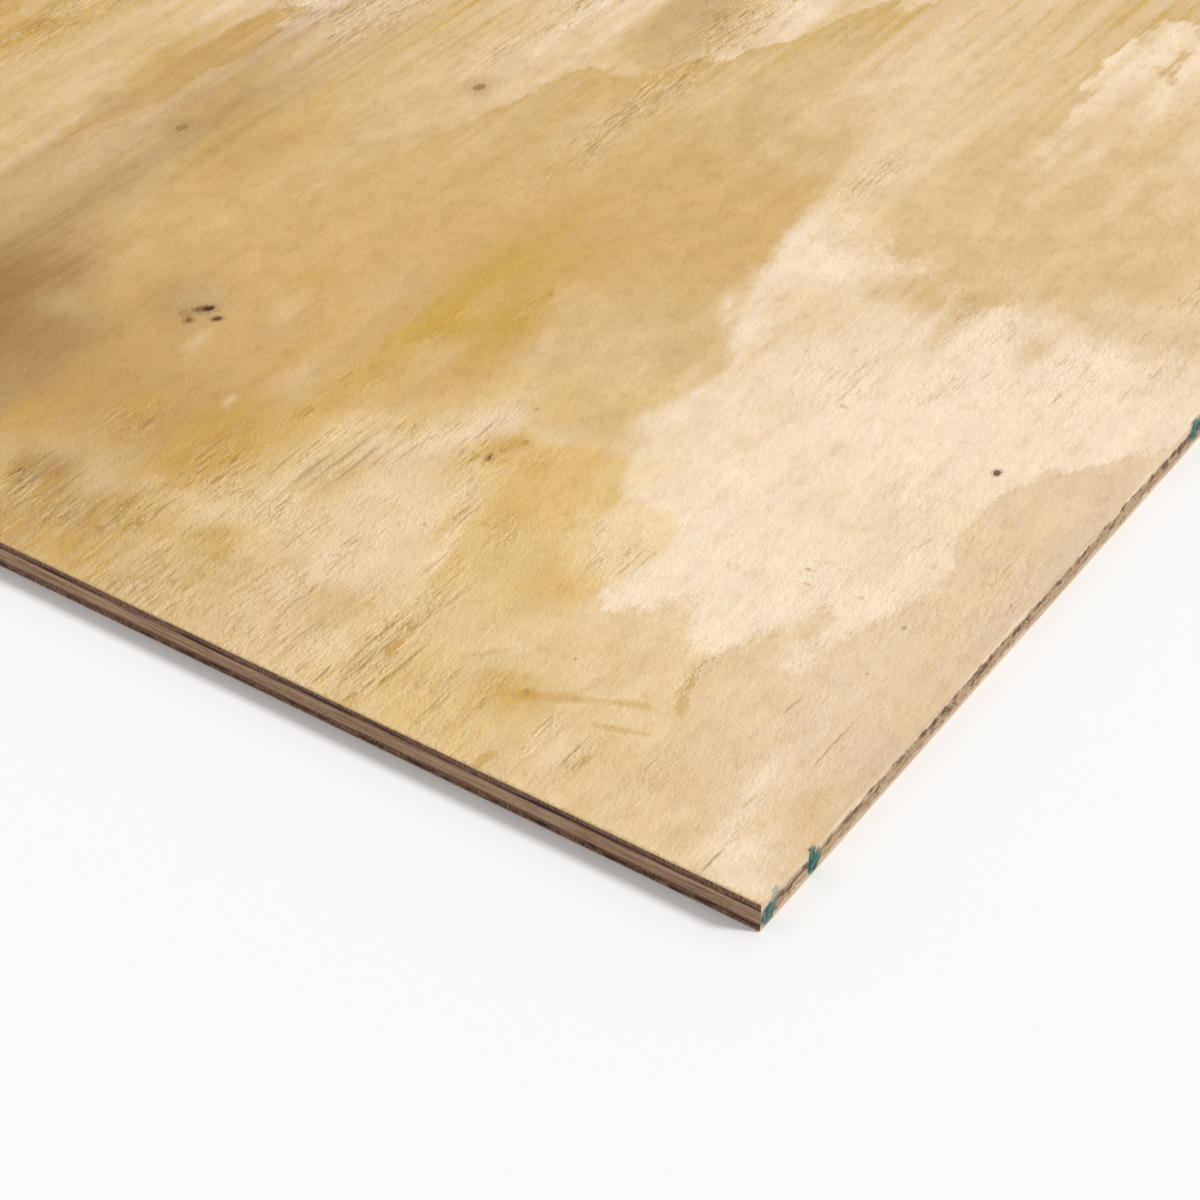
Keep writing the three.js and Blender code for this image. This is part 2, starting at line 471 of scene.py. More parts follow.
    ("heart", 155, 142, 3, 9, 0, 0.35),
    ("heart", 230, 180, 6, 12, 0, 0.25),
    ("heart", 170, 171, 7, 6, 0, 0.3),
    ("early", 45, 208, 7, 16, 0, 0.4),
    ("early", 160, 238, 5, 14, 0, 0.4),
    ("early", 56, 178, 8, 22, 0, 0.25),
    ("early", 269, 224, 5, 12, 0, 0.25),
    ("olive", 330, 36, 2.2, 16, 0, 0.35),
    ("olive", 318, 28, 1.8, 14, 0, 0.35),
    ("olive", 308, 44, 1.8, 12, 0, 0.3),
    ("olive", 297, 24, 1.6, 14, 0, 0.3),
    ("umber", 302, 34, 8, 12, 0, 0.35),
    ("umber", 298, 8, 10, 8, 0, 0.12),
    ("umber", 290, 20, 8, 9, 0, 0.14),
    ("umber", 265, 10, 10, 8, 0, 0.18),
    ("umber", 300, 210, 12, 14, 0, 0.12),
    ("umber", 414, 132, 12, 16, 0, 0.2),
    ("honey", 290, 46, 7, 9, 0, 0.35),
    ("honey", 300, 68, 7, 10, 0, 0.35),
    ("honey", 285, 90, 6, 12, 0, 0.25),
    ("honey", 262, 42, 8, 8, 0, 0.25),
    ("honey", 206, 146, 6, 9, 0, 0.3),
    ("honey", 155, 141, 3, 9, 0, 0.2),
    ("honey", 230, 180, 6, 10, 0, 0.14),
    ("early", 262, 181, 6, 14, 0, 0.3),
    ("early", 172, 232, 5, 12, 0, 0.25),
    ("early", 22, 200, 14, 40, 0, 0.25),
    ("cream", 186, 270, 6, 14, 0, 0.3),
    ("cream", 30, 130, 8, 20, 0, 0.15),
    ("blush", 60, 359, 12, 9, 0, 0.5),
    ("blush", 40, 354, 8, 9, 0, 0.4),
    ("blush", 88, 346, 8, 7, 0, 0.5),
    ("blush", 98, 354, 7, 7, 0, 0.3),
    ("umber", 30, 352, 8, 10, 0, 0.12),
    ("tan", 140, 322, 12, 10, 0, 0.4),
    ("tan", 122, 335, 9, 8, 0, 0.2),
    ("umber", 325, 30, 10, 13, 0, 0.22),
    ("honey", 327, 30, 10, 12, 0, 0.22),
    ("umber", 339, 38, 8, 10, 0, 0.16),
    ("honey", 260, 30, 8, 9, 0, 0.15),
    ("early", 300, 51, 7, 7, 0, 0.35),
    ("early", 281, 60, 6, 7, 0, 0.35),
    ("cream", 212, 60, 9, 10, 0, 0.28),
    ("cream", 230, 100, 8, 9, 0, 0.3),
    ("cream", 221, 40, 8, 8, 0, 0.3),
    ("honey", 350, 92, 22, 24, 0, 0.1),
]

# Torn and lifted grain: place, half width, half length, turn and how rough it is.
TORN_GRAIN = [
    (250, 112, 13, 28, 0, 0.50),
    (263, 108, 5, 26, 0, 0.60),
    (222, 158, 9, 20, 0, 0.60),
    (208, 134, 10, 14, 0, 0.78),
    (200, 120, 7, 28, 22, 0.55),
    (188, 86, 5, 24, 14, 0.45),
    (172, 66, 6, 14, 0, 0.45),
    (176, 44, 8, 44, 0, 0.75),
    (168, 24, 9, 28, 0, 0.65),
    (338, 30, 16, 22, 0, 0.64),
    (318, 22, 12, 24, 0, 0.56),
    (296, 32, 12, 26, 0, 0.52),
    (282, 8, 16, 14, 0, 0.58),
    (262, 12, 22, 24, 0, 0.54),
    (210, 12, 34, 22, 0, 0.50),
    (275, 78, 14, 20, 0, 0.70),
    (250, 68, 11, 16, 0, 0.85),
    (262, 52, 16, 20, 0, 0.52),
    (298, 82, 18, 22, 0, 0.35),
    (332, 84, 12, 18, 0, 0.38),
    (283, 130, 5, 44, 0, 0.40),
    (271, 205, 10, 30, 0, 0.22),
    (252, 232, 8, 22, 0, 0.35),
    (125, 268, 24, 32, 0, 0.36),
    (92, 276, 14, 22, 0, 0.36),
    (52, 312, 18, 34, 0, 0.35),
    (66, 290, 10, 18, 0, 0.36),
    (86, 318, 10, 30, 0, 0.38),
    (24, 332, 14, 26, 0, 0.32),
    (106, 322, 6, 32, 0, 0.34),
    (222, 56, 36, 50, 0, 0.40),
    (30, 64, 22, 46, 0, 0.10),
    (270, 76, 30, 30, 20, 0.45),
    (50, 100, 5, 16, 0, 0.08),
    (38, 84, 5, 26, 0, 0.20),
    (20, 80, 2.5, 24, 0, 0.30),
    (24, 20, 3, 20, 0, 0.25),
    (12, 22, 4, 8, 0, 0.25),
    (102, 24, 4, 14, 0, 0.60),
    (86, 26, 4, 14, 0, 0.50),
    (62, 30, 6, 14, 0, 0.35),
    (141, 20, 4, 20, 0, 0.50),
    (150, 26, 9, 26, 0, 0.42),
    (150, 46, 9, 14, 0, 0.42),
    (122, 6, 30, 9, 0, 0.30),
    (130, 30, 4, 14, 0, 0.50),
    (150, 66, 4, 14, 0, 0.40),
    (77, 82, 3, 12, 0, 0.70),
    (12, 174, 10, 24, 0, 0.65),
    (38, 190, 22, 18, 0, 0.35),
    (62, 210, 24, 16, 0, 0.28),
    (52, 148, 30, 16, 0, 0.32),
    (175, 108, 12, 12, 0, 0.50),
    (131, 120, 8, 16, 0, 0.40),
    (144, 120, 5, 18, 32, 0.40),
    (238, 138, 12, 13, 0, 0.50),
    (290, 66, 16, 14, 0, 0.42),
    (210, 148, 10, 10, 0, 0.50),
    (190, 148, 9, 10, 0, 0.35),
    (26, 168, 6, 18, 0, 0.35),
    (250, 30, 9, 13, 0, 0.80),
    (212, 30, 10, 14, 0, 0.75),
    (270, 152, 7, 16, 0, 0.28),
    (140, 292, 8, 14, 0, 0.28),
]

# Pin knots, specks and resin: colour, place, half width, half length, turn and strength.
SPOTS = [
    ("umber", 359.3, 156.4, 4.6, 6.4, -42, 0.45),
    ("bark", 359.8, 156.6, 2.4, 4.2, -42, 0.65),
    ("knot", 358.2, 157.6, 1.6, 2.3, -42, 0.95),
    ("umber", 350.6, 153.8, 2.8, 3.8, -42, 0.45),
    ("bark", 350.6, 153.8, 1.6, 2.5, -42, 0.8),
    ("knot", 350.4, 154.0, 0.9, 1.4, -42, 0.6),
    ("umber", 363.4, 149.2, 3.4, 2.6, -42, 0.5),
    ("umber", 359.4, 146.9, 2.6, 3.0, 0, 0.6),
    ("bark", 359.4, 146.9, 1.2, 1.4, 0, 0.6),
    ("early", 199.4, 149.4, 3.0, 5.0, 0, 0.25),
    ("resin", 206.0, 149.5, 3.0, 5.6, 0, 0.4),
    ("umber", 206.3, 147.0, 1.7, 2.6, 0, 0.28),
    ("resin", 201.9, 155.6, 1.7, 2.4, 0, 0.5),
    ("umber", 201.7, 155.8, 1.2, 1.7, 0, 0.3),
    ("umber", 210.5, 175.3, 0.8, 1.5, 0, 0.5),
    ("umber", 207.3, 141.3, 2.2, 3.6, 0, 0.65),
    ("knot", 207.0, 141.0, 1.0, 1.8, 0, 0.8),
    ("umber", 46.6, 239.0, 2.0, 2.6, 0, 0.35),
    ("knot", 46.6, 239.0, 1.2, 1.6, 0, 0.82),
    ("resin", 118.2, 40.0, 3.6, 3.8, 20, 0.5),
    ("umber", 118.8, 40.6, 1.3, 2.0, 30, 0.65),
    ("resin", 75.6, 76.0, 1.6, 4.0, 20, 0.45),
    ("resin", 71.8, 65.0, 2.4, 6.0, 22, 0.5),
    ("resin", 169.6, 34.5, 2.6, 4.6, 0, 0.75),
    ("resin", 171.5, 43.0, 3.6, 5.0, 0, 0.3),
    ("resin", 111.2, 5.5, 1.8, 4.6, 0, 0.6),
    ("resin", 165.5, 5.0, 2.2, 5.0, 0, 0.4),
    ("resin", 83.4, 24.0, 1.4, 2.2, 0, 0.55),
    ("resin", 114.8, 243.0, 2.2, 1.6, 0, 0.5),
    ("crack", 75.0, 151.0, 1.1, 1.1, 0, 0.55),
    ("resin", 71.0, 143.5, 1.5, 1.2, 0, 0.4),
    ("resin", 51.0, 148.0, 1.3, 1.3, 0, 0.4),
    ("crack", 30.4, 142.0, 0.9, 1.2, 0, 0.5),
    ("crack", 28.5, 113.8, 0.6, 0.7, 0, 0.5),
    ("crack", 115.0, 64.0, 0.7, 1.0, 0, 0.5),
    ("crack", 203.0, 94.5, 0.7, 0.9, 0, 0.5),
    ("knot", 346.0, 36.4, 1.2, 1.8, 0, 0.55),
    ("crack", 288.5, 36.8, 0.9, 2.0, 0, 0.6),
    ("crack", 250.0, 43.0, 0.6, 0.7, 0, 0.5),
]

# Fine cracks along the grain: distance in from the long edge, where each starts and ends along
# the grain, its half width and its strength.
CRACKS = [
    (218.6, 148, 160, 0.35, 0.8),
    (19.7, 60, 97, 0.35, 0.6),
    (41.0, 79, 91, 0.50, 0.5),
    (64.6, 28, 41, 0.40, 0.4),
    (104.9, 23, 37, 0.45, 0.5),
    (88.6, 16, 33, 0.40, 0.4),
    (141.2, 6, 31, 0.45, 0.5),
    (23.5, 1, 15, 0.50, 0.8),
    (27.8, 33, 42, 0.40, 0.4),
    (162.0, 17, 43, 0.55, 0.7),
    (172.4, 14, 42, 0.60, 0.6),
    (174.8, 8, 26, 0.65, 0.5),
    (178.6, 20, 52, 0.55, 0.5),
    (181.8, 2, 15, 0.65, 0.8),
    (176.6, 58, 86, 0.50, 0.5),
    (186.6, 68, 88, 0.50, 0.5),
    (252.2, 92, 128, 0.55, 0.5),
    (245.4, 96, 126, 0.55, 0.5),
    (240.2, 108, 134, 0.50, 0.4),
    (300.4, 34, 58, 0.50, 0.5),
    (287.0, 30, 60, 0.55, 0.6),
    (338.4, 18, 42, 0.60, 0.6),
    (218.6, 150, 162, 0.50, 0.4),
    (326.0, 24, 52, 0.60, 0.55),
    (313.0, 12, 32, 0.50, 0.50),
    (344.0, 30, 56, 0.55, 0.50),
    (268.4, 84, 108, 0.50, 0.45),
    (257.0, 88, 112, 0.55, 0.50),
    (234.0, 118, 140, 0.50, 0.40),
    (193.0, 92, 116, 0.50, 0.45),
    (50.7, 289, 300, 0.55, 0.50),
    (79.7, 286, 298, 0.50, 0.32),
    (89.5, 272, 286, 0.50, 0.28),
    (119.0, 243, 258, 0.60, 0.32),
    (41.1, 344, 358, 0.60, 0.38),
    (29.4, 303, 320, 0.50, 0.34),
]

# Splinters standing a little proud of the torn grain: distance in from the long edge, where
# each starts and ends along the grain, and its half width.
SPLINTERS = [
    (149.0, 53, 73, 0.55),
    (130.0, 22, 35, 0.50),
    (104.0, 22, 35, 0.50),
    (100.4, 12, 25, 0.45),
    (87.2, 17, 35, 0.50),
    (79.0, 7, 35, 0.45),
    (64.0, 30, 42, 0.45),
    (56.0, 25, 35, 0.45),
    (32.0, 14, 44, 0.60),
    (25.8, 6, 26, 0.55),
    (12.4, 16, 26, 0.50),
    (164.2, 4, 28, 0.55),
    (168.4, 30, 62, 0.60),
    (171.0, 6, 30, 0.55),
    (176.4, 30, 56, 0.60),
    (180.2, 44, 76, 0.65),
    (184.4, 66, 92, 0.60),
    (188.2, 84, 112, 0.60),
    (194.0, 100, 126, 0.65),
    (199.4, 118, 140, 0.60),
    (247.4, 92, 126, 0.60),
    (256.2, 96, 124, 0.60),
    (262.4, 100, 130, 0.55),
    (224.0, 148, 170, 0.60),
    (292.0, 4, 30, 0.55),
    (308.0, 7, 30, 0.55),
    (320.0, 12, 33, 0.55),
    (334.0, 16, 40, 0.60),
    (346.0, 20, 44, 0.55),
]

# Faint resin strokes across the grain: ends, half width and strength.
STROKES = [
    ((127, 34), (119, 39), 2.0, 0.35),
    ((119, 39), (103, 47), 2.6, 0.45),
    ((103, 47), (90, 54), 1.8, 0.35),
    ((90, 54), (82, 57), 2.4, 0.5),
    ((90, 40), (73, 46), 1.6, 0.4),
    ((147, 44), (137, 55), 1.6, 0.25),
    ((136, 41), (121, 48), 2.6, 0.22),
]

# Paint on the long edge: colour, distance from the front edge, height above the back, half
# length, half height and strength.
PAINT_MARKS = [
    ("paint", 4.8, 4.6, 4.2, 4.8, 0.95),
    ("paint_smear", 8.4, 9.6, 2.1, 3.6, 0.6),
    ("paint", 30.6, 9.4, 2.1, 3.6, 0.9),
    ("paint", 31.9, 5.0, 4.0, 5.0, 1.0),
    ("paint", 311.0, 8.0, 5.2, 5.6, 0.95),
]

FIGURE_REACH = 620.0  # the listed figure has given way to the drawn one at this distance
FIGURE_FADE = 220.0  # over this much
FIGURE_STRAY = 60.0  # and this much nearer or further from place to place
LAID, LONG_SIDE, END_SIDE, GLUED, MARKED, FADING, DRAWN = range(7)  # the face's materials

GRAIN_STRETCH = 2.0  # outlines fade and wander this much further along the grain than across
CRISPEST = 0.8  # no outline is sharper than this
DEEPEST = 5.0  # an outline's measure is kept between this and its negative
RAG_POWER = -0.6  # a softer outline is less ragged
SOFT_POWER = 2.4  # how flat a soft spot is in its middle
SOFT_FALL = 0.8  # how far it has fallen on its rim
PATCH_WAVES = (38, 130)  # size of the scattered patches of torn grain, across and along
PATCH_START = (300, 460)  # they come in between these distances from the near corner
PATCH_ROUGHNESS = 0.8
WARP = (9, 16)  # how far the dabs are warped, across and along
WARP_WAVES = ((9, 26), (12, 30))  # size of the waves that do it, across and along
WARP_FULL = (7, 14)  # a dab with a smaller half is warped less, so that it keeps its shape


def closed_curve(points, steps=4):
    """A smooth closed line through the points, with their third number carried along."""
    points = np.array(points, float)
    before, after = np.roll(points, 1, axis=0), np.roll(points, -1, axis=0)
    beyond = np.roll(points, -2, axis=0)
    pieces = []
    for step in range(steps):
        t = step / steps
        pieces.append(
            0.5
            * (
                2 * points
                + (after - before) * t
                + (2 * before - 5 * points + 4 * after - beyond) * t**2
                + (3 * points - before - 3 * after + beyond) * t**3
            )
        )
    return np.stack(pieces, axis=1).reshape(-1, points.shape[1])


def inside_measure(inward, along, outline):
    """How far each place lies inside an outline, in its softness, and how ragged it is there."""
    line = closed_curve(outline)
    line[:, 1] /= GRAIN_STRETCH
    along = along / GRAIN_STRETCH
    nearest = np.full(inward.shape, np.inf)
    softness = np.ones(inward.shape)
    inside = np.zeros(inward.shape, bool)
    for (u0, v0, soft0), (u1, v1, soft1) in zip(line, np.roll(line, -1, axis=0)):
        du, dv = u1 - u0, v1 - v0
        part = np.clip(((inward - u0) * du + (along - v0) * dv) / (du * du + dv * dv), 0, 1)
        gap = np.hypot(inward - u0 - part * du, along - v0 - part * dv)
        closer = gap < nearest
        nearest = np.where(closer, gap, nearest)
        softness = np.where(closer, soft0 + part * (soft1 - soft0), softness)
        if dv:
            crosses = (v0 > along) != (v1 > along)
            inside ^= crosses & (inward < u0 + (along - v0) / dv * du)
    softness = np.maximum(softness, CRISPEST)
    measure = np.where(inside, nearest, -nearest) / softness
    return np.clip(measure, -DEEPEST, DEEPEST), softness**RAG_POWER


def turned(degrees):
    """Cosine and sine of a turn."""
    return math.cos(math.radians(degrees)), math.sin(math.radians(degrees))


def turned_reach(inward, along, place_u, place_v, half_u, half_v, turn):
    """How far places lie from the middle of a turned ellipse: 1 on its rim."""
    cosine, sine = turned(turn)
    across = (inward - place_u) * cosine - (along - place_v) * sine
    lengthwise = (inward - place_u) * sine + (along - place_v) * cosine
    return np.hypot(across / half_u, lengthwise / half_v)


def soft_spot(reach):
    """1 in the middle of an ellipse, falling softly to nothing beyond its rim."""
    return np.exp(-SOFT_FALL * reach**SOFT_POWER)


def torn_amount(inward, along):
    """How rough the grain is: as listed near the corner, and in scattered patches beyond it."""
    amount = np.zeros(inward.shape)
    for *ellipse, rough in TORN_GRAIN:
        amount = np.maximum(amount, rough * soft_spot(turned_reach(inward, along, *ellipse)))
    scattered = smooth_noise(inward / PATCH_WAVES[0], along / PATCH_WAVES[1], TORN_PATCH)
    away = smooth_step(*PATCH_START, np.hypot(inward, along))
    return np.maximum(amount, away * PATCH_ROUGHNESS * smooth_step(0.74, 0.95, scattered))


def dabbed(inward, along, colours):
    """Soft colour over the figure: red, green, blue and how much of the wood it covers."""
    warp_u, warp_v = (
        reach * smooth_noise(inward / wave_u, along / wave_v, seed) - reach / 2
        for reach, (wave_u, wave_v), seed in zip(WARP, WARP_WAVES, (WARP_ACROSS, WARP_ALONG))
    )
    paint = np.zeros((len(inward), 4))
    for tone, place_u, place_v, half_u, half_v, turn, strength in DABS:
        warped_u = inward + warp_u * min(1.0, half_u / WARP_FULL[0])
        warped_v = along + warp_v * min(1.0, half_v / WARP_FULL[1])
        reach = turned_reach(warped_u, warped_v, place_u, place_v, half_u, half_v, turn)
        amount = (strength * soft_spot(reach))[:, None]
        paint = paint * (1 - amount) + amount * np.array([*linear(getattr(colours, tone)), 1.0])
    return paint


# ---- Meshes -----------------------------------------------------------------------------

# Each pair is across the grain and along it.
FINE_REACH = (360.0, 420.0)  # how far a fine mesh runs from the near corner
BACK_REACH = (40.0, 40.0)  # and how far it does on the back
STEP_GROWTH = (1.06, 1.05)  # how much longer each further step is than the last
COARSEST_STEP = (15.0, 24.0)
BORDER = 0.15  # a narrow border keeps the worn arris from tilting the light on the face
SIDE_ROWS = 4  # rows of facets down a side, below the arris
ARRIS_ROWS = 2  # rows of a side that have the wood of the broad face
FADE_ROWS = 3  # the face's relief dies out over this many rows of its sides
SAW_FADE = 0.3  # wear has rubbed the saw marks down this near the broad face
SAW_LEAST = 0.2  # to this much at the arris itself


def graded_steps(total, fine_reach, fine_step, growth, coarse_step):
    """Distances from 0 to total: even and fine at first, then steadily longer."""
    places = [0.0]
    step = fine_step
    while places[-1] < total:
        if places[-1] > fine_reach:
            step = min(step * growth, coarse_step)
        places.append(places[-1] + step)
    return np.array(places) * (total / places[-1])


def arris_rings(radius, steps=3):
    """Drop and inset of each ring round a worn arris, from the broad face outwards."""
    turns = np.linspace(0, math.pi / 2, steps + 1)
    return [(radius * (1 - math.cos(turn)), radius * (1 - math.sin(turn))) for turn in turns]


def place(name, mesh):
    """Puts a mesh into the scene as an object."""
    piece = bpy.data.objects.new(name, mesh)
    bpy.context.scene.collection.objects.link(piece)
    return piece


class VeneerShell:
    """One veneer's closed skin: a broad face with relief, four sawn sides and a glued face."""

    def __init__(self, name, box, sizes, arris, up):
        self.name = name
        self.low, self.high = (np.array(corner) / MM for corner in box)
        self.arris = arris
        self.up = up  # +1: the broad face is the top one; -1: the underside; 0: neither
        self.across = self.lines(0, sizes.fine_across / MM)
        self.along = self.lines(1, sizes.fine_along / MM)
        self.points, self.faces, self.slots = [], [], []

    def lines(self, axis, fine_step):
        """Places of the mesh's lines along one axis, inside the worn arris."""
        span = self.high[axis] - self.low[axis] - 2 * self.arris
        reach = (FINE_REACH if self.up >= 0 else BACK_REACH)[axis]
        lines = graded_steps(span, reach, fine_step, STEP_GROWTH[axis], COARSEST_STEP[axis])
        lines = self.arris + lines
        if self.up:
            lines = np.insert(lines, 1, self.arris + BORDER)
            lines = np.insert(lines, -1, self.arris + span - BORDER)
        return lines

    def rim(self):
        """Indices of the broad face's border, in order round it."""
        columns, rows = len(self.across), len(self.along)
        front = [(column, 0) for column in range(columns - 1)]
        left = [(columns - 1, row) for row in range(rows - 1)]
        rear = [(column, rows - 1) for column in range(columns - 1, 0, -1)]
        right = [(0, row) for row in range(rows - 1, 0, -1)]
        return front + left + rear + right

    def outward(self, rim):
        """The way out of the sheet at each point of the rim, across and along the grain."""
        last_column, last_row = len(self.across) - 1, len(self.along) - 1

        def way(number, last):
            return -1.0 if number == 0 else 1.0 if number == last else 0.0

        return np.array([(way(column, last_column), way(row, last_row)) for column, row in rim])

    def build(self, relief, side_relief):
        """Makes the skin from its broad face down, and gives the piece and its points' places."""
        rim = self.rim()
        broad = self.high[2] if self.up >= 0 else self.low[2]
        sense = -1 if self.up >= 0 else 1  # into the wood
        ring, first_depth = None, np.zeros(len(rim))
        if self.up:
            ring, first_depth = self.broad_face(rim, relief, broad, sense)
        rim_u = np.array([self.across[column] for column, _ in rim])
        rim_v = np.array([self.along[row] for _, row in rim])
        side_of = self.outward(rim)
        rings = arris_rings(self.arris)[1:] if self.up else [(0.0, 0.0)]
        body = np.linspace(rings[-1][0], self.high[2] - self.low[2], SIDE_ROWS + 1)[1:]
        levels = rings + [(drop, 0.0) for drop in body]
        total = 0 if ring is None else len(self.points[0])
        for number, (drop, inset) in enumerate(levels):
            fade = max(0.0, 1 - number / FADE_ROWS) * (number < len(levels) - 1)
            height = broad + sense * (drop + first_depth * fade)
            work = side_relief(rim_u, rim_v, side_of, drop)
            if self.up:
                work = work * min(1.0, drop / SAW_FADE + SAW_LEAST)
            out = self.arris - inset - work
            level = (rim_u + side_of[:, 0] * out, rim_v + side_of[:, 1] * out, height)
            self.points.append(np.stack(np.broadcast_arrays(*level), axis=-1))
            new_ring = np.arange(total, total + len(rim))
            total += len(rim)
            if ring is None:
                self.cap(new_ring, top=True)
            else:
                after, new_after = np.roll(ring, -1), np.roll(new_ring, -1)
                quads = np.stack([ring, after, new_after, new_ring], axis=-1)
                quads = quads[:, ::-1] if self.up < 0 else quads
                ends = side_of[:, 1] != 0
                ends = ends & np.roll(ends, -1)
                sawn = number >= ARRIS_ROWS or self.up == 0
                self.add(quads[ends], END_SIDE if sawn else LAID)
                self.add(quads[~ends], LONG_SIDE if sawn else LAID)
            ring = new_ring
        self.cap(ring, top=self.up < 0)
        return self.finish()

    def broad_face(self, rim, relief, broad, sense):
        """Adds the face with the relief, and gives its border's points and their depths."""
        inward, along = np.meshgrid(self.across, self.along, indexing="ij")
        depth = relief(inward, along)
        grid = np.stack([inward, along, broad + sense * depth], axis=-1)
        self.points = [grid.reshape(-1, 3)]
        index = np.arange(inward.size).reshape(inward.shape)
        corners = (index[:-1, :-1], index[:-1, 1:], index[1:, 1:], index[1:, :-1])
        quads = np.stack(corners, axis=-1).reshape(-1, 4)
        self.add(quads if self.up > 0 else quads[:, ::-1], LAID)
        return np.array([index[spot] for spot in rim]), np.array([depth[spot] for spot in rim])

    def add(self, quads, slot):
        self.faces.extend(quads.tolist())
        self.slots.extend([slot] * len(quads))

    def cap(self, ring, top):
        """A flat glued face: long strips across, and one many-sided strip at each end."""
        columns, rows = len(self.across), len(self.along)
        front = ring[:columns]
        left = ring[columns - 1 : columns - 1 + rows]
        rear = ring[columns + rows - 2 : 2 * columns + rows - 2]
        right = np.concatenate([ring[2 * columns + rows - 3 :], ring[:1]])[::-1]
        strips = [list(front) + [left[1], right[1]]]
        for row in range(1, rows - 2):
            strips.append([right[row], left[row], left[row + 1], right[row + 1]])
        strips.append([right[-2], left[-2]] + list(rear))
        for strip in strips:
            self.faces.append([int(i) for i in (strip[::-1] if top else strip)])
            self.slots.append(GLUED)

    def finish(self):
        """Makes the mesh a piece, and gives it with each point's place on the face."""
        places = np.concatenate(self.points)
        inward, along = places[:, 0].copy(), places[:, 1].copy()
        places[:, 0] = self.high[0] - inward
        places[:, 1] = self.low[1] + along
        mesh = bpy.data.meshes.new(self.name)
        mesh.from_pydata((places * MM).tolist(), [], self.faces)
        mesh.polygons.foreach_set("material_index", self.slots)
        mesh.polygons.foreach_set("use_smooth", [slot == LAID for slot in self.slots])
        mesh.update()
        return place(self.name, mesh), inward, along


def store(mesh, name, values):
    """Keeps one number for each point of a mesh, for the materials to read."""
    attribute = mesh.attributes.get(name) or mesh.attributes.new(name, "FLOAT", "POINT")
    attribute.data.foreach_set("value", np.asarray(values, np.float32))


def store_figure(mesh, inward, along, colours, torn):
    """Keeps the figure of the face at each point of a mesh."""
    for name, (_, _, outline) in FIGURE.items():
        measure, rag = inside_measure(inward, along, outline)
        store(mesh, name, measure)
        store(mesh, f"{name}_rag", rag)
    store(mesh, "torn", torn)
    paint = mesh.attributes.get("dab") or mesh.attributes.new("dab", "FLOAT_COLOR", "POINT")
    values = dabbed(inward, along, colours).astype(np.float32)
    paint.data.foreach_set("color", values.ravel())


# ---- Materials --------------------------------------------------------------------------
# Depths of relief are in metres, and every other length in a material is in millimetres.

GRAIN_LEAN = 16  # degrees that the short ticks in the wood lean from the grain
FACE_RELIEF = 0.00034
BACK_RELIEF = 0.0003
EDGE_RELIEF = 0.0003
RIM_RELIEF = 0.00025
GLUED_RELIEF = 0.0002
FACE_RIM = (0.72, 0.86)  # brightness of the torn rim, where it is dullest and palest
# the back's rim is darker: partly dirt, partly painted shade low on the edge beside the floor
BACK_RIM_DIRT_AND_SHADE = (0.58, 0.72)
FACE_LIGHT = {  # how far each noise sways the brightness of the face
    "fine": 0.02,
    "tick": 0.04,
    "wide": 0.04,
    "pore": 0.07,
    "cloud": 0.09,
    "mottle": -0.03,
}
SPOT_REACH = 1.7  # a spot's ragged rim stays within this many of its halves
STROKE_REACH = 1.4  # and a stroke's within this many, and as many millimetres
CRACK_REACH = 3  # and a crack's within this many
CRACK_WIDTH = 1.3  # a crack is drawn this much wider than it is listed
CRACK_DARKNESS = 0.75
FLOOR_GREY = 0.7  # of the floor, in the light that it throws back on the sheet
STAIN_HEIGHT = 7.4  # the dark patches of a long edge lie about this far above the back


def feed(tree, socket, value):
    """Links a node's output to a socket, or sets the socket to a plain value."""
    if isinstance(value, bpy.types.NodeSocket):
        tree.links.new(value, socket)
    else:
        socket.default_value = value


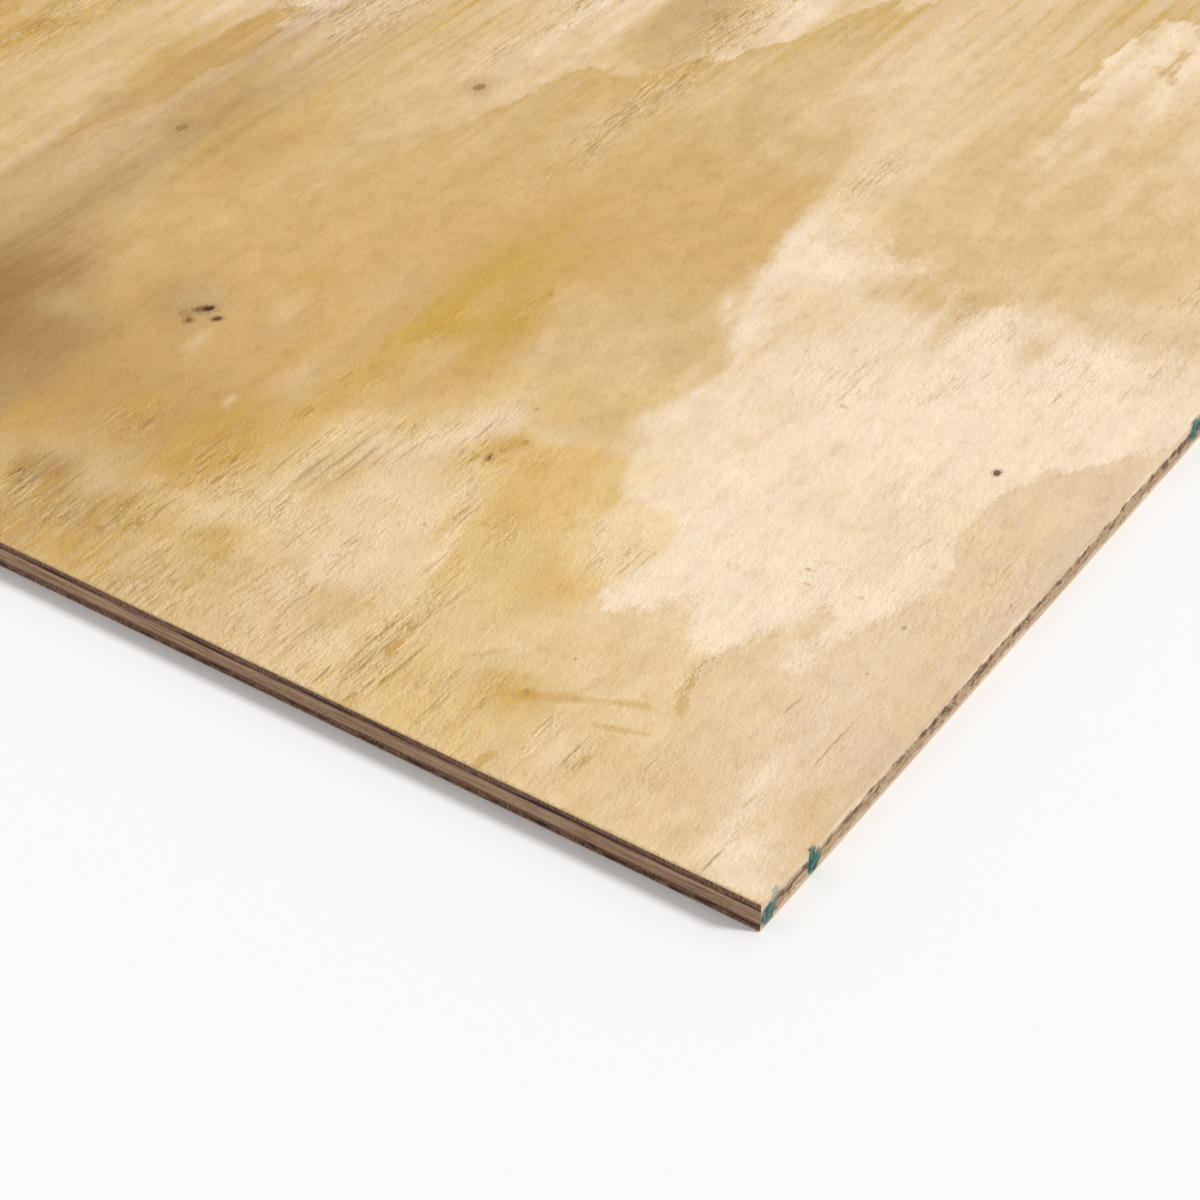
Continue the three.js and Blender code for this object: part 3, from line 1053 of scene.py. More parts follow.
class Wiring:
    """Builds one material's nodes, with places in millimetres from the near corner."""

    def __init__(self, name, roughness, specular):
        self.material = bpy.data.materials.new(name)
        self.material.use_nodes = True
        self.tree = self.material.node_tree
        self.tree.nodes.clear()
        self.surface = self.node("ShaderNodeBsdfPrincipled")
        self.surface.inputs["Roughness"].default_value = roughness
        self.surface.inputs["Specular IOR Level"].default_value = specular
        output = self.node("ShaderNodeOutputMaterial")
        self.feed(output.inputs["Surface"], self.surface.outputs["BSDF"])
        axes = self.node("ShaderNodeSeparateXYZ")
        self.feed(axes.inputs[0], self.node("ShaderNodeTexCoord").outputs["Object"])
        self.inward = self.scaled(axes.outputs[0], -1 / MM, SHEET_WIDTH / 2)
        self.along = self.scaled(axes.outputs[1], 1 / MM, SHEET_LENGTH / 2)
        self.height = self.times(axes.outputs[2], 1 / MM)

    def node(self, kind, **settings):
        made = self.tree.nodes.new(kind)
        for key, value in settings.items():
            setattr(made, key, value)
        return made

    def feed(self, socket, value):
        feed(self.tree, socket, value)

    # Sums: each gives the output of one Math node, or of a few.

    def math(self, operation, *values, clamp=False):
        made = self.node("ShaderNodeMath", operation=operation, use_clamp=clamp)
        for socket, value in zip(made.inputs, values):
            self.feed(socket, value)
        return made.outputs[0]

    def plus(self, first, second):
        return self.math("ADD", first, second)

    def minus(self, first, second):
        return self.math("SUBTRACT", first, second)

    def times(self, first, second):
        return self.math("MULTIPLY", first, second)

    def scaled(self, value, factor, shift=0.0, clamp=False):
        return self.math("MULTIPLY_ADD", value, factor, shift, clamp=clamp)

    def gap(self, first, second):
        return self.math("ABSOLUTE", self.minus(first, second))

    def squares(self, first, second):
        """The sum of the squares of two values."""
        return self.scaled(second, second, self.times(first, first))

    def step(self, value, low, high, to_low=0.0, to_high=1.0):
        """Goes smoothly from one number to another as a value goes from low to high."""
        made = self.node("ShaderNodeMapRange", interpolation_type="SMOOTHSTEP")
        for socket, number in zip(made.inputs, (value, low, high, to_low, to_high)):
            self.feed(socket, number)
        return made.outputs["Result"]

    def swing(self, noise, reach):
        """A noise as a swing about nothing."""
        return self.scaled(noise, 2 * reach, -reach)

    def sway(self, value, *swings):
        """A value with the swings of several noises added."""
        for noise, reach in swings:
            value = self.plus(value, self.swing(noise, reach))
        return value

    # Patterns: a value is given with the length of its waves and, where it has one, a shift.

    def spot(self, across, along):
        """A place in a flat pattern."""
        made = self.node("ShaderNodeCombineXYZ")
        for socket, value in zip(made.inputs, (across, along)):
            if isinstance(value, tuple):
                value, wave, shift = (*value, 0.0)[:3]
                value = self.scaled(value, 1 / wave, shift)
            self.feed(socket, value)
        return made.outputs[0]

    def noise(self, across, along=0.0, detail=2.0, rough=0.5):
        made = self.node("ShaderNodeTexNoise", noise_dimensions="2D")
        self.feed(made.inputs["Vector"], self.spot(across, along))
        made.inputs["Scale"].default_value = 1.0
        made.inputs["Detail"].default_value = detail
        made.inputs["Roughness"].default_value = rough
        return made.outputs["Fac"]

    def kept(self, name, output="Fac"):
        """What a mesh keeps under a name."""
        return self.node("ShaderNodeAttribute", attribute_name=name).outputs[output]

    # Colours: each gives a colour.

    def mix(self, amount, first, second, blend="MIX"):
        made = self.node("ShaderNodeMix", data_type="RGBA", blend_type=blend)
        self.feed(made.inputs[0], amount)
        for socket, value in ((made.inputs[6], first), (made.inputs[7], second)):
            if not isinstance(value, bpy.types.NodeSocket):
                value = (*linear(value), 1.0)
            self.feed(socket, value)
        return made.outputs[2]

    def tint(self, shade, tone, value, low, high, strength=1.0, blend="MIX"):
        """Lays a tone over a shade as a value goes from low to high."""
        return self.mix(self.step(value, low, high, 0.0, strength), shade, tone, blend)

    def brighten(self, shade, amount):
        """Multiplies a colour by an amount near 1."""
        made = self.node("ShaderNodeVectorMath", operation="SCALE")
        self.feed(made.inputs[0], shade)
        self.feed(made.inputs["Scale"], amount)
        return made.outputs[0]

    def total(self, first, second):
        """The sum of two colours."""
        made = self.node("ShaderNodeVectorMath", operation="ADD")
        self.feed(made.inputs[0], first)
        self.feed(made.inputs[1], second)
        return made.outputs[0]

    def finish(self, shade, relief, depth):
        """Closes the material with its colour and its relief, whose depth is in metres."""
        self.feed(self.surface.inputs["Base Color"], shade)
        bump = self.node("ShaderNodeBump")
        bump.inputs["Distance"].default_value = depth
        bump.inputs["Strength"].default_value = 1.0
        self.feed(bump.inputs["Height"], relief)
        self.feed(self.surface.inputs["Normal"], bump.outputs["Normal"])
        return self.material


def grain(wiring):
    """The noises that every broad face shares, most of them running with the fibres."""
    inward, along = wiring.inward, wiring.along
    cosine, sine = turned(GRAIN_LEAN)
    turned_u = wiring.scaled(along, -sine, wiring.times(inward, cosine))
    turned_v = wiring.scaled(inward, sine, wiring.times(along, cosine))
    return {
        "fine": wiring.noise((inward, 2.0), (along, 30), rough=0.6),
        "middle": wiring.noise((inward, 4.2, 5), (along, 80)),
        "wide": wiring.noise((inward, 18, 8), (along, 300)),
        "dash": wiring.noise((inward, 1.6, 40), (along, 13), detail=3),
        "tick": wiring.noise((turned_u, 1.8), (turned_v, 5.0), detail=1),
        "pore": wiring.noise((inward, 1.15, 9), (along, 1.5)),
        "cloud": wiring.noise((inward, 13, 3), (along, 22), detail=4),
        "fleck": wiring.noise((inward, 3.6, 70), (along, 5.0), detail=3),
        "mottle": wiring.noise((inward, 7, 25), (along, 11, 4), detail=4, rough=0.62),
    }


def ellipse(wiring, place_u, place_v, half_u, half_v, turn, rag):
    """1 inside a small ellipse with a ragged rim, 0 outside."""
    cosine, sine = turned(turn)
    from_u = wiring.minus(wiring.inward, place_u)
    from_v = wiring.minus(wiring.along, place_v)
    part_u = wiring.scaled(from_v, -sine / half_u, wiring.times(from_u, cosine / half_u))
    part_v = wiring.scaled(from_u, sine / half_v, wiring.times(from_v, cosine / half_v))
    return wiring.step(wiring.plus(wiring.squares(part_u, part_v), rag), 1.5, 0.3)


def stroke(wiring, start, end, half, rag):
    """1 along a short straight stroke, 0 off it."""
    du, dv = end[0] - start[0], end[1] - start[1]
    span = math.hypot(du, dv)
    from_u = wiring.minus(wiring.inward, start[0])
    from_v = wiring.minus(wiring.along, start[1])
    part = wiring.scaled(from_v, dv / span, wiring.times(from_u, du / span))
    part = wiring.math("MINIMUM", wiring.math("MAXIMUM", part, 0.0), span)
    gap_u = wiring.scaled(part, -du / span, from_u)
    gap_v = wiring.scaled(part, -dv / span, from_v)
    gap = wiring.math("SQRT", wiring.squares(gap_u, gap_v))
    return wiring.step(wiring.plus(gap, rag), STROKE_REACH * half, 0.2 * half)


def crack(wiring, place_u, start, end, half, rag):
    """1 along a thin crack that follows the grain, 0 off it."""
    middle, reach = (start + end) / 2, (end - start) / 2
    part_u = wiring.plus(wiring.scaled(wiring.inward, 1 / half, -place_u / half), rag)
    part_v = wiring.scaled(wiring.along, 1 / reach, -middle / reach)
    return wiring.step(wiring.squares(part_u, part_v), 1.3, 0.2)


def drawn_figure(wiring, noises):
    """Growth rings over the rest of the sheet: gradual on one side and crisp on the other."""
    slope = wiring.noise((wiring.inward, 300, 3), (wiring.along, 900, 7))
    wave = wiring.noise((wiring.inward, 90, 9), (wiring.along, 250, 2))
    rings = wiring.scaled(slope, 6.4, wiring.times(wave, 1.3))
    rings = wiring.sway(rings, (noises["cloud"], 0.09), (noises["fine"], 0.03))
    ring = wiring.math("FRACT", rings)
    late = wiring.math("POWER", ring, 1.7)
    return wiring.times(late, wiring.step(ring, 1.0, 0.965))


def drawn_wood(wiring, noises, colours):
    """The drawn figure in its colours, with broad golden zones, stains and pin knots."""
    late = drawn_figure(wiring, noises)
    zone = wiring.noise((wiring.inward, 340, 5), (wiring.along, 760, 3))
    shade = wiring.tint(colours.early, colours.cream, noises["wide"], 0.35, 0.65)
    shade = wiring.tint(shade, colours.tan, zone, 0.46, 0.66, 0.55)
    shade = wiring.mix(wiring.times(late, 0.85), shade, colours.tan)
    golden = wiring.times(wiring.step(noises["middle"], 0.46, 0.70), late)
    shade = wiring.mix(wiring.times(golden, 0.6), shade, colours.honey)
    stain = wiring.noise((wiring.inward, 95, 1), (wiring.along, 210, 8), detail=4)
    shade = wiring.tint(shade, colours.honey, stain, 0.56, 0.74, 0.5)
    shade = wiring.tint(shade, colours.umber, stain, 0.66, 0.82, 0.5)
    cells = wiring.node("ShaderNodeTexVoronoi", voronoi_dimensions="2D")
    wiring.feed(cells.inputs["Vector"], wiring.spot((wiring.inward, 230), (wiring.along, 330)))
    cells.inputs["Scale"].default_value = 1.0
    ragged = wiring.sway(cells.outputs["Distance"], (noises["pore"], 0.006))
    chance = wiring.node("ShaderNodeSeparateColor")
    wiring.feed(chance.inputs[0], cells.outputs["Color"])
    held = wiring.step(chance.outputs[0], 0.5, 0.55)  # half of the cells hold a pin knot
    halo = wiring.times(wiring.step(ragged, 0.05, 0.01, 0, 0.45), held)
    shade = wiring.mix(halo, shade, colours.umber)
    heart = wiring.times(wiring.step(ragged, 0.014, 0.007), held)
    return wiring.mix(heart, shade, colours.knot)


def laid_wood(wiring, noises, colours):
    """The listed figure in its colours."""
    shade = wiring.tint(colours.early, colours.cream, noises["cloud"], 0.3, 0.7)
    shade = wiring.mix(0.75, shade, colours.early)
    wobble = wiring.swing(noises["cloud"], 3.4)
    wobble = wiring.sway(wobble, (noises["pore"], 1.2), (noises["tick"], 1.2))
    for name, (tone, strength, _) in FIGURE.items():
        measure = wiring.scaled(wobble, wiring.kept(f"{name}_rag"), wiring.kept(name))
        shade = wiring.tint(shade, getattr(colours, tone), measure, -1.0, 1.0, strength)
    return shade


def marked_wood(wiring, noises, shade, colours):
    """Spots, strokes and cracks over the wood."""
    rag = wiring.sway(wiring.swing(noises["cloud"], 1.2), (noises["pore"], 0.8))
    for tone, *oval, strength in SPOTS:
        amount = wiring.times(ellipse(wiring, *oval, rag), strength)
        shade = wiring.mix(amount, shade, getattr(colours, tone))
    for *line, strength in STROKES:
        amount = wiring.times(stroke(wiring, *line, rag), strength)
        shade = wiring.mix(amount, shade, colours.resin)
    crooked = wiring.swing(noises["cloud"], 2.2)
    cracked = 0.0
    for *line, half, strength in CRACKS:
        amount = crack(wiring, *line, CRACK_WIDTH * half, crooked)
        amount = wiring.times(amount, CRACK_DARKNESS * strength)
        cracked = wiring.math("MAXIMUM", cracked, amount)
    return wiring.mix(cracked, shade, colours.crack)


def handed_over(wiring, noises, laid, drawn):
    """The laid figure near the corner, and the drawn one beyond it."""
    reach = wiring.math("SQRT", wiring.squares(wiring.along, wiring.inward))
    reach = wiring.sway(reach, (noises["cloud"], FIGURE_STRAY))
    far = wiring.step(reach, FIGURE_REACH - FIGURE_FADE, FIGURE_REACH)
    return wiring.mix(far, laid, drawn)


def torn_wood(wiring, noises, shade, colours, torn):
    """Paler lifted fibres, partly their own wood and partly a painted highlight, and painted shade
    in the gaps and pits between them.
    """
    # Paler colour where the torn relief stands up: partly the lifted fibres' own wood, partly a
    # painted highlight.
    pale = wiring.times(wiring.step(noises["dash"], 0.46, 0.30), torn)
    shade = wiring.mix(wiring.times(pale, 0.4), shade, colours.cream)
    rough = wiring.step(torn, 0.10, 0.66)
    # Painted shade in the hollows that the relief sinks: the gaps and the pits.
    gaps = wiring.times(wiring.step(noises["dash"], 0.55, 0.75), rough)
    pits = wiring.times(wiring.step(noises["fleck"], 0.56, 0.82), rough)
    gaps = wiring.math("MAXIMUM", gaps, wiring.times(pits, 0.45))
    return wiring.mix(gaps, shade, colours.gap, blend="MULTIPLY")


def face_relief(wiring, noises, torn):
    """Height of the fine relief: ticks and pores, deeper gaps where torn, and small pebbling."""
    relief = wiring.times(noises["tick"], wiring.scaled(torn, 0.7, 0.3))
    grainy = wiring.scaled(torn, 1.5, 0.62)
    grainy = wiring.times(grainy, wiring.step(wiring.along, 50, 240, 1.0, 0.55))
    relief = wiring.scaled(noises["pore"], grainy, relief)
    relief = wiring.scaled(wiring.times(noises["dash"], torn), -1.5, relief)
    pebbled = wiring.times(noises["fleck"], wiring.scaled(torn, 1.1, 0.42))
    return wiring.minus(relief, pebbled)


def face_material(colours, name, laid=True, drawn=False, marked=False):
    """Wood of the face: the laid figure, the one drawn beyond it, or one fading into the other."""
    wiring = Wiring(name, roughness=0.62, specular=0.25)
    noises = grain(wiring)
    patch = wiring.noise((wiring.inward, 20, 6), (wiring.along, 30), detail=1)
    torn = wiring.times(wiring.kept("torn"), wiring.step(patch, 0.35, 0.62, 0.55, 1.3))
    near = laid_wood(wiring, noises, colours) if laid else None
    shade = drawn_wood(wiring, noises, colours) if drawn else near
    if laid and drawn:
        shade = handed_over(wiring, noises, near, shade)

    patchy = wiring.scaled(noises["middle"], 0.7, 0.3)
    patchy = wiring.scaled(noises["cloud"], 0.7, patchy)
    bare = wiring.scaled(wiring.times(wiring.kept("dab", "Alpha"), -1.0), patchy, 1.0, clamp=True)
    dab = wiring.brighten(wiring.kept("dab", "Color"), patchy)
    shade = wiring.total(wiring.brighten(shade, bare), dab)

    shade = wiring.tint(shade, colours.honey, noises["middle"], 0.5, 0.75, 0.08)
    flecked = wiring.times(wiring.step(noises["fleck"], 0.50, 0.85, 0, 0.35), patchy)
    shade = wiring.mix(flecked, shade, colours.fleck, blend="MULTIPLY")
    shade = wiring.tint(shade, colours.fleck, noises["mottle"], 0.48, 0.70, 0.26, "MULTIPLY")
    shade = torn_wood(wiring, noises, shade, colours, torn)
    if marked:
        shade = marked_wood(wiring, noises, shade, colours)

    worn = wiring.sway(wiring.along, (noises["pore"], 1.2))
    shade = wiring.tint(shade, colours.olive, worn, 1.7, 0.2, 0.5)
    # Raised fibres and splinters are paler: partly their own wood, partly a painted highlight.
    shade = wiring.mix(wiring.kept("lift"), shade, colours.cream)
    # Painted shade along the arris of the long edge, where the key lamp lights its rounding most.
    shade = wiring.tint(shade, colours.rim, wiring.inward, 0.5, 0.25, blend="MULTIPLY")
    if laid:
        shade = paint_over(wiring, shade, colours)

    light = wiring.sway(1.0, *((noises[name], reach) for name, reach in FACE_LIGHT.items()))
    shade = wiring.brighten(shade, light)
    return wiring.finish(shade, face_relief(wiring, noises, torn), FACE_RELIEF)


def mark_boxes():
    """Bounds of each spot, stroke and crack on the face: two across and two along the grain."""
    for _, place_u, place_v, half_u, half_v, _, _ in SPOTS:
        reach = SPOT_REACH * max(half_u, half_v)
        yield place_u - reach, place_u + reach, place_v - reach, place_v + reach
    for start, end, half, _ in STROKES:
        reach = STROKE_REACH * half + STROKE_REACH
        low_u, high_u = sorted((start[0], end[0]))
        low_v, high_v = sorted((start[1], end[1]))
        yield low_u - reach, high_u + reach, low_v - reach, high_v + reach
    for place_u, start, end, half, _ in CRACKS:
        reach = CRACK_REACH * half
        yield place_u - reach, place_u + reach, start - reach, end + reach


def share_out_face(mesh, inward, along):
    """Gives each facet of the broad face the plainest material that holds all its colours."""
    quads = [facet for facet in mesh.polygons if len(facet.vertices) == 4]
    corners = np.array([list(facet.vertices) for facet in quads])
    facets = np.array([facet.index for facet in quads])
    slots = np.empty(len(mesh.polygons), np.int32)
    mesh.polygons.foreach_get("material_index", slots)
    low_u, high_u = inward[corners].min(axis=1), inward[corners].max(axis=1)
    low_v, high_v = along[corners].min(axis=1), along[corners].max(axis=1)
    marked = np.zeros(len(facets), bool)
    for left, right, front, rear in mark_boxes():
        marked |= (high_u > left) & (low_u < right) & (high_v > front) & (low_v < rear)
    nearest, furthest = np.hypot(low_u, low_v), np.hypot(high_u, high_v)
    kinds = np.full(len(facets), FADING)
    kinds[furthest < FIGURE_REACH - FIGURE_FADE - FIGURE_STRAY] = LAID
    kinds[nearest > FIGURE_REACH + FIGURE_STRAY] = DRAWN
    kinds[marked] = MARKED
    broad = slots[facets] == LAID
    slots[facets[broad]] = kinds[broad]
    mesh.polygons.foreach_set("material_index", slots)


def back_material(colours):
    wiring = Wiring("back_wood", roughness=0.72, specular=0.2)
    noises = grain(wiring)
    shade = wiring.mix(drawn_figure(wiring, noises), colours.early, colours.tan)
    streaked = wiring.times(wiring.step(noises["middle"], 0.45, 0.75), 0.4)
    shade = wiring.mix(streaked, shade, colours.umber)
    light = wiring.sway(1.0, (noises["fine"], 0.08), (noises["wide"], 0.14))
    shade = wiring.brighten(shade, light)
    relief = wiring.scaled(noises["fine"], 0.5, wiring.times(noises["tick"], 0.5))
    return wiring.finish(shade, relief, BACK_RELIEF)


def glue_lines(wiring, shade, colours, run, levels, strength):
    """Darkens a side along each height where it meets a neighbouring veneer."""
    wander = wiring.noise((run, 9))
    height = wiring.sway(wiring.height, (wander, 0.3))
    broken = wiring.step(wiring.noise((run, 14, 3)), 0.35, 0.6, 0.2, strength)
    for level in levels:
        amount = wiring.times(wiring.step(wiring.gap(height, level), 0.34, 0.04), broken)
        shade = wiring.mix(amount, shade, colours.glue)
    return shade


def paint_over(wiring, shade, colours):
    """Teal marking paint, dragged along the long edge and soaked into the fibres."""
    along, height = wiring.along, wiring.height
    rag = wiring.swing(wiring.noise((along, 1.6), (height, 3.0), detail=3), 0.9)
    lump = wiring.step(wiring.noise((along, 2.2, 5), (height, 3.4)), 0.36, 0.64)
    beside = wiring.step(wiring.inward, 1.5, 0.5)
    for tone, run, level, half_length, half_height, strength in PAINT_MARKS:
        part_v = wiring.scaled(along, 1 / half_length, -run / half_length)
        part_z = wiring.scaled(height, 1 / half_height, -level / half_height)
        squared = wiring.plus(wiring.squares(part_v, part_z), rag)
        amount = wiring.times(wiring.step(squared, 1.6, 0.3, 0.0, strength), beside)
        film = getattr(colours, tone)
        if tone == "paint":
            film = wiring.mix(lump, colours.paint_deep, film)
        shade = wiring.mix(amount, shade, film)
    return shade


def edge_stain(wiring, shade, colours):
    """Dark patches along the middle of a long edge, across the veneers."""
    patch = wiring.noise((wiring.along, 7), (wiring.height, 4), detail=4, rough=0.7)
    spread = wiring.noise((wiring.along, 90, 2), detail=1)
    patch = wiring.scaled(wiring.gap(wiring.height, STAIN_HEIGHT), -0.04, patch)
    patch = wiring.sway(patch, (spread, 0.12))
    return wiring.tint(shade, colours.core_stain, patch, 0.44, 0.56, 0.85)


def torn_rim(wiring, deep, colours, outer_height, brightness):
    """Pale torn wood that hangs down from the arris, with a ragged lower edge."""
    run, height = wiring.along, wiring.height
    hair = wiring.noise((run, 12), (height, 0.5), detail=3)
    soft = wiring.noise((run, 22), (height, 3.0), detail=3)
    ragged = wiring.noise((run, 8, 4), detail=4, rough=0.6)
    slow = wiring.noise((run, 60, 1), detail=1)
    pale = wiring.tint(colours.blush, colours.cream, soft, 0.35, 0.65)
    pale = wiring.tint(pale, colours.tan, hair, 0.55, 0.7, 0.3)
    pale = wiring.brighten(pale, wiring.step(slow, 0.3, 0.7, *brightness))
    depth = wiring.gap(height, outer_height)
    depth = wiring.sway(depth, (ragged, 2.9), (slow, 1.2), (hair, 0.6))
    return wiring.tint(pale, deep, depth, 2.5, 4.0), hair


def long_grain_material(colours, name, outer_height, brightness):
    """Long side of the face or back veneer: a pale torn rim, then tan wood with brown streaks."""
    wiring = Wiring(name, roughness=0.75, specular=0.2)
    prick = wiring.noise((wiring.along, 1.5), (wiring.height, 1.3))
    deep = wiring.tint(colours.end_grain, colours.core_end, prick, 0.35, 0.65)
    deep = wiring.tint(deep, colours.core_stain, prick, 0.44, 0.26, 0.6)
    deep = edge_stain(wiring, deep, colours)
    shade, hair = torn_rim(wiring, deep, colours, outer_height, brightness)
    shade = paint_over(wiring, shade, colours)
    return wiring.finish(shade, hair, RIM_RELIEF)


def sawn_end_material(colours, name, outer_height, inner_height, streaks):
    """End of the face or back veneer: dark end grain with blackened streaks by the glue."""
    streak_run, streak_reach, least = streaks
    wiring = Wiring(name, roughness=0.75, specular=0.2)
    run, height = wiring.inward, wiring.height
    prick = wiring.noise((run, 0.9), (height, 2.6), detail=3)
    mottle = wiring.noise((run, 7), (height, 1.6), detail=4, rough=0.6)
    bands = wiring.noise((run, 110, 6), detail=1)
    shade = wiring.tint(colours.end_dark, colours.end_grain, prick, 0.3, 0.7)
    shade = wiring.tint(shade, colours.core_dark, mottle, 0.5, 0.72, 0.6)
    inwards = wiring.minus(height, inner_height)
    inwards = wiring.math("DIVIDE", inwards, outer_height - inner_height)
    rim = wiring.sway(inwards, (mottle, 0.5))
    shade = wiring.tint(shade, colours.core_end, rim, 0.8, 1.05, 0.4)
    streak = wiring.noise((run, streak_run, 2), (height, 1.5), detail=3, rough=0.6)
    streak = wiring.sway(streak, (prick, 0.10), (bands, 0.16))
    streak = wiring.scaled(wiring.gap(inwards, streak_reach / 2), -0.5, streak)
    shade = wiring.tint(shade, colours.end_black, streak, least, least + 0.14, 0.92)
    shade = glue_lines(wiring, shade, colours, run, [inner_height], 0.5)
    return wiring.finish(shade, prick, EDGE_RELIEF)


def core_end_material(colours, name, low, high):
    """Core veneer on the front and rear edges, where its fibres run along the edge."""
    wiring = Wiring(name, roughness=0.8, specular=0.2)
    run, height = wiring.inward, wiring.height
    hair = wiring.noise((run, 16), (height, 0.4), detail=3)
    soft = wiring.noise((run, 36), (height, 1.4), detail=4, rough=0.6)
    prick = wiring.noise((run, 1.6), (height, 1.2), detail=3)
    shade = wiring.tint(colours.core, colours.core_dark, hair, 0.40, 0.66)
    shade = wiring.tint(shade, colours.core_pale, soft, 0.42, 0.62, 0.6)
    shade = wiring.tint(shade, colours.core_dark, soft, 0.42, 0.30, 0.5)
    shade = wiring.tint(shade, colours.core_dark, prick, 0.54, 0.74, 0.45)
    shade = wiring.tint(shade, colours.glue, prick, 0.24, 0.16, 0.7)
    shade = glue_lines(wiring, shade, colours, run, [low, high], 0.45)
    return wiring.finish(shade, hair, EDGE_RELIEF)


def core_side_material(colours, name, low, high, outer_height=None):
    """Core veneer on the long sides, where its fibres end: tan with dark stained strips."""
    wiring = Wiring(name, roughness=0.8, specular=0.2)
    run, height = wiring.along, wiring.height
    prick = wiring.noise((run, 0.9), (height, 0.8), detail=3)
    strips = wiring.noise((run, 13, low), (height, 3), detail=4, rough=0.6)
    shade = wiring.tint(colours.core_end, colours.core_dark, strips, 0.45, 0.65, 0.8)
    shade = wiring.tint(shade, colours.core_dark, prick, 0.42, 0.70, 0.6)
    shade = wiring.tint(shade, colours.core_pale, prick, 0.42, 0.25, 0.4)
    shade = edge_stain(wiring, shade, colours)
    shade = glue_lines(wiring, shade, colours, run, [low, high], 0.35)
    if outer_height is not None:
        shade, _ = torn_rim(wiring, shade, colours, outer_height, FACE_RIM)
    shade = paint_over(wiring, shade, colours)
    return wiring.finish(shade, prick, EDGE_RELIEF)


def glued_material(colours):
    """The hidden faces, stained by glue."""
    wiring = Wiring("glued_wood", roughness=0.85, specular=0.1)
    noises = grain(wiring)
    shade = wiring.tint(colours.umber, colours.glue, noises["wide"], 0.35, 0.65)
    return wiring.finish(shade, noises["fine"], GLUED_RELIEF)


def white_where_seen(tree, lighting):
    """White for what the camera sees, straight or mirrored, and a grey for the light given."""
    path = tree.nodes.new("ShaderNodeLightPath")
    seen = path.outputs["Is Camera Ray"]
    for ray in ("Is Glossy Ray", "Is Transmission Ray"):
        either = tree.nodes.new("ShaderNodeMath")
        either.operation = "MAXIMUM"
        feed(tree, either.inputs[0], seen)
        feed(tree, either.inputs[1], path.outputs[ray])
        seen = either.outputs[0]
    mix = tree.nodes.new("ShaderNodeMix")
    mix.data_type = "RGBA"
    for number, value in ((0, seen), (6, (lighting,) * 3 + (1,)), (7, (1, 1, 1, 1))):
        feed(tree, mix.inputs[number], value)
    return mix.outputs[2]


def floor_material():
    """A white floor that keeps the sheet's shadow."""
    material = bpy.data.materials.new("studio_floor")
    material.use_nodes = True
    tree = material.node_tree
    tree.nodes.clear()
    surface = tree.nodes.new("ShaderNodeBsdfDiffuse")
    output = tree.nodes.new("ShaderNodeOutputMaterial")
    feed(tree, surface.inputs["Color"], white_where_seen(tree, FLOOR_GREY))
    feed(tree, output.inputs["Surface"], surface.outputs[0])
    return material


# ---- Fibres -----------------------------------------------------------------------------

# A fibre's paleness is partly its own paler wood, partly a painted highlight.
FIBRE_PALENESS = 0.22  # how far a raised fibre is paler than the wood round it
FIBRES_PER_METRE = 50000.0  # in a square metre of the roughest grain
EDGE_FIBRES = 520  # along each long edge
EDGE_SHAKE = (1e-4, 4e-3, 1e-4)  # how far each of them is off its even place, in metres
EDGE_INSET = 0.36  # middle of an edge fibre, in from both faces that meet there
EDGE_RADIUS = 0.30  # widest half width of an edge fibre
EDGE_END = 8  # they stop this far short of the sheet's corners
FIBRE_SEEDS = {"scatter": 5, "torn": 6, "turn": 7, "shake": 9, "edge": 10}


